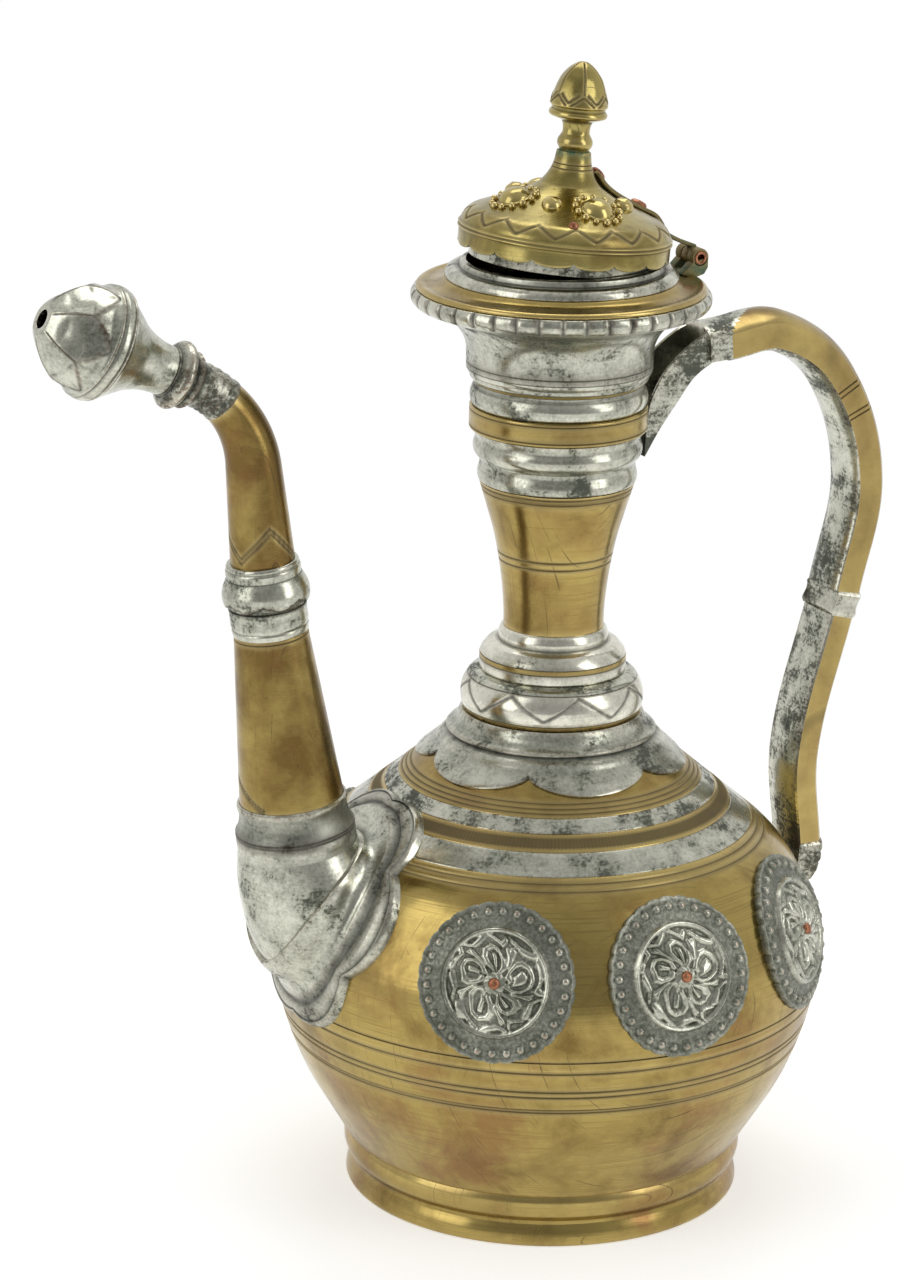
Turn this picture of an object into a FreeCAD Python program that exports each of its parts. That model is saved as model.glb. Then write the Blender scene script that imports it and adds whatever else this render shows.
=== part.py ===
import FreeCAD, Part
import math
import os

# A metal ewer of spun and brazed brass and tinned copper, with a hinged lid.
# Sizes are millimetres and degrees. The pot stands on z = 0 and its axis is z,
# the spout points to -x and the handle to +x.

# Foot, belly and shoulder
wall = 1.6
foot_height = 17.0
foot_lip_height = 7.2
foot_lip_r = 62.6
foot_groove_r = 60.8
foot_bead_r = 63.3
foot_bore_r = 57.5
bottom_plate_lift = 10.0
bottom_plate_t = 1.6
bowl_foot_r = 62.8
bowl_swell_r = 77.3
bowl_swell_rise = 25.0
bowl_rise = 51.0
seam_below_belly = 12.0
belly_r = 86.5
shoulder_bend_r = 49.2
cone_angle = 50.2
cone_brass_rise = 4.2
lower_band_rise = 5.6
milled_band_rise = 4.2
upper_band_rise = 3.6
shoulder_ring_rise = 7.0

# Scalloped collar and neck
petal_count = 8
petal_tip_r = 46.0
petal_cusp_r = 39.5
petal_t = 1.2
collar_cove_r = 37.0
collar_bead_r = 33.6
collar_bead_height = 5.2
collar_cove_rise = 3.8
collar_step_r = 30.0
collar_top_r = 27.4
collar_top_height = 5.0
zigzag_r = 28.9
zigzag_height = 13.0
zigzag_top_r = 24.0
step_ring_r = 22.6
step_ring_height = 7.0
step_ring_taper = 7.0
neck_foot_r = 15.9
neck_waist_r = 15.6
neck_waist_rise = 8.0
neck_flare_r = 18.2
neck_flare_rise = 18.0
neck_top_r = 24.1
neck_top_rise = 20.5
neck_bead_r = 26.4
neck_groove_r = 24.8
neck_ring_lower_height = 16.5
neck_band_r = 27.4
neck_band_height = 7.5
neck_ring_upper_height = 10.0
upper_groove_r = 25.8
neck_bore_r = 22.4

# Mouth cup, flange and mouth
cup_foot_r = 27.7
cup_side_r = 28.4
cup_side_height = 7.5
cup_flare_height = 13.2
flange_r = 46.6
rim_height = 5.4
rim_lap = 3.0
gadroon_count = 40
gadroon_depth = 0.7
flange_ring_inset = 2.2
flange_ring_height = 3.6
flange_ring_round = 2.0
mouth_fillet = 1.5
mouth_collar_r = 35.9
mouth_collar_height = 3.0
lip_r = 31.0
lip_bore_r = 29.3
lip_step = 1.9
lip_height = 3.6

# Spout
boot_top_out = 2.6
boot_top_rise = 57.3
boot_top_r = 16.2
boot_collar_length = 14.0
boot_swell_r = 18.3
boot_end_r = 28.5
boot_bend_r = 48.0
boot_end_lean = 55.0
boot_seam_lean = 37.0
boot_seam_slope = 52.0
spout_wall = 1.5
spout_lean = 7.7
lower_tube_length = 56.0
lower_tube_top_r = 11.3
knuckle_length = 15.0
knuckle_r = 13.0
knuckle_groove_rise = 0.5
knuckle_step = 0.6
upper_lean = 6.1
upper_tube_length = 37.0
upper_tube_r = 10.2
upper_tube_bend_r = 8.2
spout_bend_r = 34.0
ferrule_lean = 38.0
ferrule_r = 6.6
nozzle_lean = 64.0
knop_r = 10.4
knop_out = 7.0
ferrule_length = 10.5
nozzle_neck_r = 7.6
nozzle_neck_length = 4.0
nozzle_ring_r = 17.8
nozzle_ring_out = 21.0
nozzle_ring_width = 5.0
nozzle_length = 43.5
nozzle_tip_r = 4.6
nozzle_hole_r = 2.9
spout_port_r = 12.0

# Escutcheon round the spout: cusps and lobes of its right half, across and up from its middle
plate_tilt = 23.0
plate_t = 2.4
plate_top_cusp = (0.0, 42.0)
plate_upper_lobe = (16.5, 40.0)
plate_upper_cusp = (24.3, 24.0)
plate_side_lobe = (35.5, 8.5)
plate_lower_cusp = (26.5, -11.0)
plate_lower_lobe = (21.5, -25.0)
plate_bottom_cusp = (0.0, -31.0)
flare_step = 1.4
flare_foot = 5.5

# Medallions
medallion_r = 24.0
medallion_lobes = 24
medallion_lobe_depth = 0.8
medallion_t = 2.2
medallion_rim_t = 3.2
medallion_rim_width = 7.0
medallion_ridge_r = 15.6
medallion_ridge_width = 1.8
medallion_boss_r = 4.5
medallion_tilt = 17.5
medallion_pitch = 39.8
medallion_turn = 1.7
rivet_head_r = 2.1
rivet_shank_r = 1.1
rivet_tail_t = 0.8

# Handle: centre line of the bar, from the bracket over the top and down to the belly
bar_width = 18.0
bar_thick = 9.4
channel_wall = 1.4
strip_t = 1.2
handle_start_out = 27.6
handle_start_rise = 6.4
handle_top_out = 48.5
handle_top_rise = 7.6
handle_bend_out = 70.5
handle_bend_drop = 8.6
handle_reach = 109.8
handle_reach_drop = 43.0
ferrule_top_in = 6.6
ferrule_top_drop = 37.0
ferrule_foot_in = 8.9
ferrule_foot_drop = 45.0
handle_hollow_out = 3.7
handle_hollow_rise = 52.0
handle_foot_out = 5.8
handle_foot_rise = 20.0
ferrule_swell = 1.2
foot_tail_length = 15.0
foot_tail_bulge = 0.4
bracket_width = 15.0
bracket_drop = 32.0

# Hinge
hinge_out = 12.9
hinge_rise = 0.2
knuckle_barrel_r = 2.9
hinge_width = 11.0
hinge_mid_width = 3.4
knuckle_gap = 0.3
pin_r = 1.5
pin_bore_r = 0.8
pin_clearance = 0.05
pin_proud = 0.3
leaf_t = 1.2

# Lid, drawn closed and then set ajar
ajar = 5.4
lid_gap = 0.4
lid_wall = 0.8
skirt_clearance = 0.6
skirt_height = 6.8
skirt_scallops = 16
skirt_notch_r = 1.3
dome_shoulder_in = 3.4
dome_shoulder_rise = 4.6
dome_slope_r = 19.0
dome_slope_rise = 5.8
spire_waist_r = 10.3
spire_waist_rise = 5.8
spire_top_r = 5.0
spire_rise = 13.9
plug_clearance = 0.6
plug_wall = 0.8
plug_depth = 2.4
plug_flange_t = 1.0
plug_seat_gap = 0.6
boss_r = 4.8
boss_height = 2.6
granule_count = 12
granule_r = 1.0
granule_ring_r = 6.4
small_boss_r = 2.8
stud_r = 1.5
stud_turn = -24.0
strap_t = 0.9
strap_width = 8.0
strap_rivet_r = 2.6
strap_top_lean = 44.0
finial_foot_r = 4.4
finial_bead_r = 5.9
finial_bead_height = 5.0
finial_waist_r = 4.2
finial_stem_r = 3.9
finial_stem_height = 5.5
finial_collar_r = 8.9
finial_collar_height = 4.6
acorn_r = 8.6
acorn_height = 12.0
acorn_tip_r = 0.8
finial_shank_r = 1.6
finial_shank_length = 3.0
washer_r = 3.0
washer_t = 1.0

# Heights that stack up from the foot
z_seam = foot_height + bowl_rise
z_belly = z_seam + seam_below_belly
slope = math.tan(math.radians(cone_angle))
cone_run = math.cos(math.radians(cone_angle))
cone_lift = math.sin(math.radians(cone_angle))
z_cone = z_belly + shoulder_bend_r * cone_lift
cone_r = belly_r - shoulder_bend_r + shoulder_bend_r * cone_run
z_band_lower = z_cone + cone_brass_rise
z_milled = z_band_lower + lower_band_rise
z_band_upper = z_milled + milled_band_rise
z_ring = z_band_upper + upper_band_rise
z_collar = z_ring + shoulder_ring_rise
z_collar_bead = z_collar + collar_cove_rise
z_collar_step = z_collar_bead + collar_bead_height
z_zigzag = z_collar_step + collar_top_height
z_step = z_zigzag + zigzag_height
z_neck = z_step + step_ring_height + step_ring_taper
z_neck_waist = z_neck + neck_waist_rise
z_neck_flare = z_neck_waist + neck_flare_rise
z_neck_top = z_neck_flare + neck_top_rise
z_neck_band = z_neck_top + neck_ring_lower_height
z_neck_upper = z_neck_band + neck_band_height
z_cup = z_neck_upper + neck_ring_upper_height
z_cup_side = z_cup + cup_side_height
z_rim = z_cup_side + cup_flare_height
z_flange = z_rim + rim_height
z_mouth = z_flange + flange_ring_height
z_lip = z_mouth + mouth_collar_height
z_lip_top = z_lip + lip_height
skirt_r = lip_r + skirt_clearance + lid_wall
hinge_x = skirt_r + hinge_out
hinge_z = z_lip + hinge_rise
z_skirt = z_lip + lid_gap
z_dome = z_skirt + skirt_height
z_shoulder = z_dome + dome_shoulder_rise
z_slope = z_shoulder + dome_slope_rise
z_spire_waist = z_slope + spire_waist_rise
z_spire = z_slope + spire_rise

V = FreeCAD.Vector
origin = V(0, 0, 0)
x_axis = V(1, 0, 0)
y_axis = V(0, 1, 0)
z_axis = V(0, 0, 1)


def at(r, z):
    return V(r, 0, z)


def chain(start, steps):
    # Two numbers end a straight edge, four give an arc's middle and its end.
    edges = []
    here = start
    for step in steps:
        end = step[-2:]
        if len(step) == 2:
            edges.append(Part.LineSegment(at(*here), at(*end)).toShape())
        else:
            edges.append(Part.Arc(at(*here), at(*step[:2]), at(*end)).toShape())
        here = end
    return edges


def outline(start, *steps):
    closing = [] if steps[-1][-2:] == start else [start]
    return Part.Face(Part.Wire(chain(start, list(steps) + closing)))


def turned(start, *steps):
    return outline(start, *steps).revolve(origin, z_axis, 360)


def slab(face, width):
    face.translate(V(0, -width / 2, 0))
    return face.extrude(V(0, width, 0))


def barrel(x, z, radius, y_from, y_to):
    return Part.makeCylinder(radius, y_to - y_from, V(x, y_from, z), y_axis)


def belly_point(angle, grow=0.0):
    reach = shoulder_bend_r + grow
    r = belly_r - shoulder_bend_r + reach * math.cos(math.radians(angle))
    return r, z_belly + reach * math.sin(math.radians(angle))


def cone_point(z, grow=0.0):
    r = cone_r - slope * (z - z_cone)
    return r + grow * cone_run, z + grow * cone_lift


seam_angle = -math.degrees(math.asin(seam_below_belly / shoulder_bend_r))


def belly_block(grow=0.0):
    # The belly, shoulder and cone as one full solid, grown along its surface.
    top_r, top_z = cone_point(z_collar, grow)
    foot = (bowl_foot_r + grow, foot_height)
    swell = (bowl_swell_r + grow, foot_height + bowl_swell_rise)
    return turned((0, foot_height), foot,
                  swell + belly_point(seam_angle, grow),
                  belly_point(0, grow) + belly_point(cone_angle, grow),
                  (top_r, top_z), (0, top_z))


def scallops(count, tip_r, cusp_r):
    # A flat face on the xy plane whose edge is a ring of round lobes.
    step = 2 * math.pi / count
    edges = []
    for lobe in range(count):
        ends = [V(cusp_r * math.cos(a), cusp_r * math.sin(a), 0)
                for a in (step * lobe, step * (lobe + 1))]
        mid = step * (lobe + 0.5)
        tip = V(tip_r * math.cos(mid), tip_r * math.sin(mid), 0)
        edges.append(Part.Arc(ends[0], tip, ends[1]).toShape())
    return Part.Face(Part.Wire(edges))


def on_belly(shape, tilt, turn):
    # Sets a shape drawn on the xy plane flat on the belly, facing out.
    r, z = belly_point(tilt)
    shape.rotate(origin, y_axis, 90 - tilt)
    shape.translate(V(r, 0, z))
    shape.rotate(origin, z_axis, turn)
    return shape


def foot_ring():
    bead_z = (foot_lip_height + foot_height) / 2
    lip_mid = ((foot_groove_r + foot_lip_r) / 2 - wall / 4, foot_lip_height * 0.6)
    return turned((foot_bore_r, 0), (foot_lip_r, 0), (foot_lip_r, foot_lip_height * 0.2),
                  lip_mid + (foot_groove_r, foot_lip_height),
                  (foot_bead_r, bead_z, bowl_foot_r, foot_height),
                  (foot_bore_r, foot_height))


def bottom_plate():
    return Part.makeCylinder(foot_bore_r, bottom_plate_t, V(0, 0, bottom_plate_lift))


def lower_bowl():
    swell_z = foot_height + bowl_swell_rise
    return turned((bowl_foot_r - wall, foot_height), (bowl_foot_r, foot_height),
                  (bowl_swell_r, swell_z) + belly_point(seam_angle),
                  belly_point(seam_angle, -wall),
                  (bowl_swell_r - wall, swell_z, bowl_foot_r - wall, foot_height))


def shoulder_shell():
    shell = turned(belly_point(seam_angle),
                   belly_point(0) + belly_point(cone_angle),
                   cone_point(z_band_lower), cone_point(z_band_lower, -wall),
                   belly_point(cone_angle, -wall),
                   belly_point(0, -wall) + belly_point(seam_angle, -wall))
    port = Part.makeCylinder(spout_port_r, 4 * spout_port_r, V(0, 0, -2 * spout_port_r))
    shell = shell.cut(on_belly(port, plate_tilt, 180))
    for turn in medallion_turns():
        shell = shell.cut(rivet_shank(turn))
    return shell


def cone_ring(z_low, z_high):
    return turned(cone_point(z_low), cone_point(z_high),
                  cone_point(z_high, -wall), cone_point(z_low, -wall))


def shoulder_collar():
    cone_z = z_cone + (cone_r - petal_tip_r) / slope
    cove_z = z_cone + (cone_r - collar_cove_r) / slope
    bead_mid = ((collar_bead_r + collar_step_r + wall) / 2, z_collar_bead + collar_bead_height * 0.55)
    cove_low = cone_point(cove_z, petal_t)
    cove_mid = ((collar_cove_r + collar_bead_r) / 2, (cove_low[1] + z_collar_bead) / 2)
    body = turned(cone_point(cone_z), cone_point(z_collar), cone_point(z_collar, -wall),
                  (collar_step_r - wall, z_collar_bead), (collar_top_r - 1.3 * wall, z_collar_step),
                  (collar_top_r - 1.3 * wall, z_zigzag), (collar_top_r, z_zigzag),
                  (collar_top_r, z_collar_step), (collar_step_r, z_collar_step),
                  bead_mid + (collar_bead_r, z_collar_bead),
                  cove_mid + cove_low, cone_point(cone_z, petal_t))
    petals = scallops(petal_count, petal_tip_r, petal_cusp_r)
    return body.common(petals.extrude(V(0, 0, 2 * z_zigzag)))


def zigzag_collar():
    bore = step_ring_r - 0.5 * wall
    swell = (zigzag_r, z_zigzag + zigzag_height * 0.45)
    return turned((bore, z_zigzag), (collar_top_r, z_zigzag),
                  swell + (zigzag_top_r, z_step), (bore, z_step))


def neck_step_ring():
    top = z_step + step_ring_height
    bore = step_ring_r - 1.2 * wall
    round_mid = (step_ring_r - 0.2 * wall, top - 0.2 * wall)
    return turned((bore, z_step), (step_ring_r, z_step), (step_ring_r, top - wall),
                  round_mid + (step_ring_r - wall, top), (neck_waist_r + 2 * wall, top),
                  (neck_waist_r + 0.9 * wall, top + step_ring_taper * 0.6,
                   neck_foot_r, z_neck),
                  (neck_foot_r - wall, z_neck), (neck_waist_r, top), (bore, top - wall))


def neck_wall(inset):
    points = [at(neck_foot_r - inset, z_neck), at(neck_waist_r - inset, z_neck_waist),
              at(neck_flare_r - inset, z_neck_flare), at(neck_top_r - inset, z_neck_top)]
    curve = Part.BSplineCurve()
    curve.interpolate(points)
    return curve.toShape(), points[0], points[-1]


def neck_tube():
    outer, low, high = neck_wall(0)
    inner, low_in, high_in = neck_wall(wall)
    ends = [Part.LineSegment(high, high_in).toShape(), Part.LineSegment(low_in, low).toShape()]
    return Part.Face(Part.Wire([outer, ends[0], inner, ends[1]])).revolve(origin, z_axis, 360)


def neck_ring_lower():
    bead = neck_ring_lower_height / 3
    z_one = z_neck_top + bead
    z_two = z_one + bead
    return turned((neck_bore_r, z_neck_top), (neck_top_r, z_neck_top), (neck_top_r, z_one),
                  (neck_bead_r, (z_one + z_two) / 2, neck_groove_r, z_two),
                  (neck_bead_r, (z_two + z_neck_band) / 2, neck_groove_r, z_neck_band),
                  (neck_bore_r, z_neck_band))


def neck_brass_band():
    return turned((neck_bore_r, z_neck_band), (neck_band_r, z_neck_band),
                  (neck_band_r, z_neck_upper), (neck_bore_r, z_neck_upper))


def neck_ring_upper():
    z_mid = z_neck_upper + neck_ring_upper_height * 0.6
    return turned((neck_bore_r, z_neck_upper), (upper_groove_r, z_neck_upper),
                  (neck_band_r, (z_neck_upper + z_mid) / 2, upper_groove_r, z_mid),
                  (cup_foot_r - wall, z_cup - wall / 2), (cup_foot_r - wall / 2, z_cup),
                  (neck_bore_r, z_cup))


def mouth_cup():
    flare_out = flange_r - wall
    flare_mid = (cup_side_r + 0.2 * (flare_out - cup_side_r), z_cup_side + cup_flare_height * 0.55)
    inner_mid = (flare_mid[0] - wall, flare_mid[1] + wall / 2)
    rim_in = flange_r - rim_lap - wall
    cup = turned((neck_bore_r, z_cup), (cup_foot_r, z_cup), (cup_side_r, z_cup_side),
                 flare_mid + (flare_out, z_rim),
                 (flange_r, z_rim + rim_height * 0.45, flange_r - wall, z_flange),
                 (rim_in, z_flange), (rim_in, z_rim + wall),
                 inner_mid + (cup_side_r - wall, z_cup_side), (neck_bore_r, z_cup + wall))
    flute = Part.makeCylinder(gadroon_depth, rim_height, V(flange_r, 0, z_rim), z_axis)
    flutes = []
    for count in range(gadroon_count):
        groove = flute.copy()
        groove.rotate(origin, z_axis, 360 * count / gadroon_count)
        flutes.append(groove)
    return cup.cut(Part.makeCompound(flutes))


def flange_ring():
    outer = flange_r - flange_ring_inset
    round_mid = (outer - flange_ring_round / 4, z_flange + flange_ring_height * 0.35)
    return turned((outer - rim_lap - wall, z_flange), (outer, z_flange),
                  round_mid + (outer - flange_ring_round, z_flange + flange_ring_height * 0.45),
                  (mouth_collar_r + mouth_fillet, z_flange + flange_ring_height * 0.5),
                  (mouth_collar_r, z_mouth), (mouth_collar_r - wall, z_mouth),
                  (mouth_collar_r - wall, z_mouth - wall))


def mouth_collar():
    round_in = mouth_collar_r - lip_r - lip_step
    round_mid = (mouth_collar_r - 0.3 * round_in, z_lip - 0.27 * mouth_collar_height)
    lip_mid = ((lip_r + lip_bore_r) / 2, z_lip_top)
    lip_side = z_lip_top - (lip_r - lip_bore_r) / 2
    return turned((mouth_collar_r, z_mouth), round_mid + (lip_r + lip_step, z_lip), (lip_r, z_lip),
                  (lip_r, lip_side), lip_mid + (lip_bore_r, lip_side),
                  (lip_bore_r, z_lip - wall), (mouth_collar_r - wall, z_mouth))


def hoop(u, z, lean, radius):
    # A circle across the spout, u out from the pot's axis, leaning out by lean.
    ring = Part.Wire(Part.makeCircle(radius))
    ring.rotate(origin, y_axis, -lean)
    ring.translate(V(-u, 0, z))
    return ring


def walk(point, lean, length):
    a = math.radians(lean)
    return point[0] + length * math.sin(a), point[1] + length * math.cos(a)


def on_spout(shape, point, lean):
    shape.rotate(origin, y_axis, -lean)
    shape.translate(V(-point[0], 0, point[1]))
    return shape


boot_top = (belly_r + boot_top_out, z_belly + boot_top_rise)
boot_low = walk(boot_top, spout_lean, -boot_collar_length)
boot_hub = (boot_low[0] - boot_bend_r * math.cos(math.radians(spout_lean)),
            boot_low[1] + boot_bend_r * math.sin(math.radians(spout_lean)))
knuckle_foot = walk(boot_top, spout_lean, lower_tube_length)
knuckle_top = walk(knuckle_foot, spout_lean, knuckle_length)
bend_foot = walk(knuckle_top, upper_lean, upper_tube_length)
bend_hub = (bend_foot[0] + spout_bend_r * math.cos(math.radians(upper_lean)),
            bend_foot[1] - spout_bend_r * math.sin(math.radians(upper_lean)))


def boot_hoop(lean, grow):
    # One cross section of the boot, which swells as it bends in to the belly.
    a = math.radians(lean)
    share = (lean - spout_lean) / (boot_end_lean - spout_lean)
    radius = boot_swell_r + share * (boot_end_r - boot_swell_r) + grow
    u = boot_hub[0] + boot_bend_r * math.cos(a)
    return hoop(u, boot_hub[1] - boot_bend_r * math.sin(a), lean, radius)


def boot_leans(steps=4):
    return [spout_lean + (boot_end_lean - spout_lean) * i / steps for i in range(steps + 1)]


def boot_block(grow):
    rings = [hoop(boot_top[0], boot_top[1], spout_lean, boot_top_r + grow)]
    rings += [boot_hoop(lean, grow) for lean in boot_leans()]
    return Part.makeLoft(rings, True, False)


def flare_block():
    # The collar round the boot's foot, a step wider and opening towards the belly.
    rings = []
    for lean in boot_leans():
        share = (lean - spout_lean) / (boot_end_lean - spout_lean)
        rings.append(boot_hoop(lean, flare_step + share * (flare_foot - flare_step)))
    return Part.makeLoft(rings, True, False)


def seam_block():
    # Everything above the slanting seam between the boot and its escutcheon.
    a = math.radians(boot_seam_lean)
    share = (boot_seam_lean - spout_lean) / (boot_end_lean - spout_lean)
    reach = boot_bend_r + boot_swell_r + share * (boot_end_r - boot_swell_r)
    low = V(-boot_hub[0] - reach * math.cos(a), 0, boot_hub[1] - reach * math.sin(a))
    size = 3 * boot_bend_r
    block = Part.makeBox(2 * size, 2 * size, size, V(-size, -size, 0))
    block.rotate(origin, y_axis, -boot_seam_slope)
    block.translate(low)
    return block


def spout_boot(hollow):
    boot = boot_block(0).common(seam_block())
    return boot.cut(belly_block()).cut(hollow)


def plate_face():
    right = [plate_top_cusp, plate_upper_lobe, plate_upper_cusp, plate_side_lobe,
             plate_lower_cusp, plate_lower_lobe, plate_bottom_cusp]
    left = [(-across, up) for across, up in reversed(right[:-1])]
    loop = [V(-up, across, 0) for across, up in right + left]
    edges = []
    for lobe in range(1, len(loop) - 1, 2):
        edges.append(Part.Arc(loop[lobe - 1], loop[lobe], loop[lobe + 1]).toShape())
    return Part.Face(Part.Wire(edges))


def spout_escutcheon(hollow):
    prism = plate_face()
    prism.translate(V(0, 0, -shoulder_bend_r / 2))
    prism = on_belly(prism.extrude(V(0, 0, shoulder_bend_r)), plate_tilt, 180)
    plate = belly_block(plate_t).common(prism)
    flare = flare_block().cut(seam_block())
    return plate.fuse(flare).cut(belly_block()).cut(boot_block(0).common(seam_block())).cut(hollow)


def tube_between(foot, foot_r, top_r, length, lean):
    outer = Part.makeCone(foot_r, top_r, length)
    inner = Part.makeCone(foot_r - spout_wall, top_r - spout_wall, length)
    return on_spout(outer.cut(inner), foot, lean)


def spout_lower_tube():
    return tube_between(boot_top, boot_top_r, lower_tube_top_r, lower_tube_length, spout_lean)


def spout_knuckle():
    ring = knuckle_length / 4
    side = lower_tube_top_r
    bore_low = lower_tube_top_r - spout_wall
    bore_top = upper_tube_r - spout_wall
    body = turned((bore_low, 0), (side, 0), (side, ring),
                  (knuckle_r, 1.5 * ring, side + knuckle_groove_rise, 2 * ring),
                  (knuckle_r, 2.5 * ring, side, 3 * ring),
                  (upper_tube_r + knuckle_step, knuckle_length), (bore_top, knuckle_length))
    return on_spout(body, knuckle_foot, spout_lean)


def bend_point(lean):
    a = math.radians(lean)
    return bend_hub[0] - spout_bend_r * math.cos(a), bend_hub[1] + spout_bend_r * math.sin(a)


def bend_hoops(lean_from, lean_to, r_from, r_to, grow, steps=3):
    rings = []
    for i in range(steps + 1):
        share = i / steps
        lean = lean_from + share * (lean_to - lean_from)
        rings.append(hoop(*bend_point(lean), lean, r_from + share * (r_to - r_from) + grow))
    return rings


def upper_tube_block(grow):
    middle = walk(knuckle_top, upper_lean, upper_tube_length / 2)
    middle_r = (upper_tube_r + upper_tube_bend_r) / 2
    rings = [hoop(*knuckle_top, spout_lean, upper_tube_r + grow), hoop(*middle, upper_lean, middle_r + grow)]
    rings += bend_hoops(upper_lean, ferrule_lean, upper_tube_bend_r, ferrule_r, grow)
    return Part.makeLoft(rings, True, False)


def spout_upper_tube():
    return upper_tube_block(0).cut(upper_tube_block(-spout_wall))


def ferrule_block(grow):
    return Part.makeLoft(bend_hoops(ferrule_lean, nozzle_lean, ferrule_r, ferrule_r, grow), True, False)


def spout_ferrule():
    bore = ferrule_r - spout_wall
    half = ferrule_length - knop_out
    cap = turned((bore, 0), (ferrule_r, 0), (ferrule_r, knop_out - half),
                 (knop_r, knop_out, nozzle_neck_r, ferrule_length), (bore, ferrule_length))
    bend = ferrule_block(0).cut(ferrule_block(-spout_wall))
    return bend.fuse(on_spout(cap, bend_point(nozzle_lean), nozzle_lean)).removeSplitter()


def spout_nozzle():
    ring = nozzle_ring_width
    near = nozzle_ring_out
    far = near + ring
    bore = ferrule_r - spout_wall
    cone_mid = (nozzle_neck_r + 0.3 * (nozzle_ring_r - nozzle_neck_r), (nozzle_neck_length + near) / 2)
    rise = nozzle_length - far
    dome_mid = (0.8 * (nozzle_ring_r - spout_wall), far + 0.62 * rise)
    inner_mid = (dome_mid[0] - spout_wall, dome_mid[1] - spout_wall)
    body = turned((bore, 0), (nozzle_neck_r, 0), (nozzle_neck_r, nozzle_neck_length),
                  cone_mid + (nozzle_ring_r - spout_wall, near),
                  (nozzle_ring_r, (near + far) / 2, nozzle_ring_r - spout_wall, far),
                  dome_mid + (nozzle_tip_r, nozzle_length), (nozzle_hole_r, nozzle_length),
                  (nozzle_hole_r, nozzle_length - spout_wall),
                  inner_mid + (nozzle_ring_r - 2 * spout_wall, far),
                  (nozzle_ring_r - 2.5 * spout_wall, near),
                  (cone_mid[0] - spout_wall, cone_mid[1]), (bore, nozzle_neck_length))
    foot = walk(bend_point(nozzle_lean), nozzle_lean, ferrule_length)
    return on_spout(body, foot, nozzle_lean)


def handle_path():
    top_z = z_cup
    return [at(neck_band_r + handle_start_out, top_z + handle_start_rise),
            at(neck_band_r + handle_top_out, top_z + handle_top_rise),
            at(neck_band_r + handle_bend_out, top_z - handle_bend_drop),
            at(handle_reach, top_z - handle_reach_drop),
            at(handle_reach - ferrule_top_in, top_z - handle_reach_drop - ferrule_top_drop),
            at(handle_reach - ferrule_foot_in, top_z - handle_reach_drop - ferrule_foot_drop),
            at(belly_r + handle_hollow_out, z_belly + handle_hollow_rise),
            at(belly_r + handle_foot_out, z_belly + handle_foot_rise)]


handle_points = handle_path()
handle_curve = Part.BSplineCurve()
handle_curve.interpolate(handle_points)
bar_start, ferrule_top, ferrule_foot, bar_end = [
    handle_curve.parameter(handle_points[i]) for i in (0, 4, 5, 7)]


def beside_bar(t, side):
    # A point off the handle's centre line, outwards where side is positive.
    here = handle_curve.value(t)
    along = handle_curve.tangent(t)[0]
    return here + V(-along.z, 0, along.x) * side


def bar_edge(t_from, t_to, side, spots=9):
    curve = Part.BSplineCurve()
    curve.interpolate([beside_bar(t_from + (t_to - t_from) * i / (spots - 1), side) for i in range(spots)])
    return curve.toShape()


def bar(t_from, t_to, inner, outer, width):
    edges = [bar_edge(t_from, t_to, outer),
             Part.LineSegment(beside_bar(t_to, outer), beside_bar(t_to, inner)).toShape(),
             bar_edge(t_from, t_to, inner),
             Part.LineSegment(beside_bar(t_from, inner), beside_bar(t_from, outer)).toShape()]
    return slab(Part.Face(Part.Wire(Part.__sortEdges__(edges))), width)


def handle_channel(t_from, t_to):
    half = bar_thick / 2
    hollow = bar(t_from, t_to, -half - strip_t, half - channel_wall, bar_width - 2 * channel_wall)
    return bar(t_from, t_to, -half, half, bar_width).cut(hollow)


def handle_strip(t_from, t_to):
    half = bar_thick / 2
    return bar(t_from, t_to, -half, strip_t - half, bar_width - 2 * channel_wall)


def handle_mid_ferrule():
    half = bar_thick / 2 + ferrule_swell
    return bar(ferrule_top, ferrule_foot, -half, half, bar_width + 2 * ferrule_swell)


def handle_foot():
    half = bar_thick / 2
    outer = beside_bar(bar_end, half)
    inner = beside_bar(bar_end, -half)
    low = outer.z - foot_tail_length
    inside = belly_r - 2 * wall
    face = outline((inner.x, inner.z), (outer.x, outer.z),
                   (outer.x + foot_tail_bulge, outer.z - foot_tail_length / 2,
                    belly_r + half * 1.4, low + wall),
                   (belly_r + wall, low), (inside, low), (inside, inner.z - foot_tail_length * 0.4))
    return slab(face, bar_width - 2 * channel_wall).cut(belly_block())


def handle_bracket():
    half = bar_thick / 2
    start_in = beside_bar(bar_start, -half)
    start_out = beside_bar(bar_start, half)
    root = neck_band_r - 2 * wall
    low = start_in.z - bracket_drop
    under = ((root + start_in.x) / 2 - half * 0.35, start_in.z - bracket_drop * 0.42)
    over = ((root + start_out.x) / 2 - half * 0.6, start_out.z - half * 0.9)
    face = outline((start_in.x, start_in.z), (start_out.x, start_out.z),
                   over + (root, start_out.z - bracket_drop * 0.55), (root, low),
                   (root + half, low), under + (start_in.x, start_in.z))
    arm = slab(face, bracket_width)
    for ring in (neck_ring_lower(), neck_brass_band(), neck_ring_upper(), mouth_cup()):
        arm = arm.cut(ring)
    return arm


def medallion_turns():
    turns = []
    for side, sign in ((270, 1), (90, -1)):
        turns += [side + sign * (medallion_turn + medallion_pitch * i) for i in (-1, 0, 1)]
    return turns


def medallion_layer(face, height):
    face.translate(V(0, 0, -medallion_r / 2))
    prism = face.extrude(V(0, 0, medallion_r))
    return on_belly(prism, medallion_tilt, 0).common(belly_block(height))


def disc(radius):
    return Part.Face(Part.Wire(Part.makeCircle(radius)))


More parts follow.
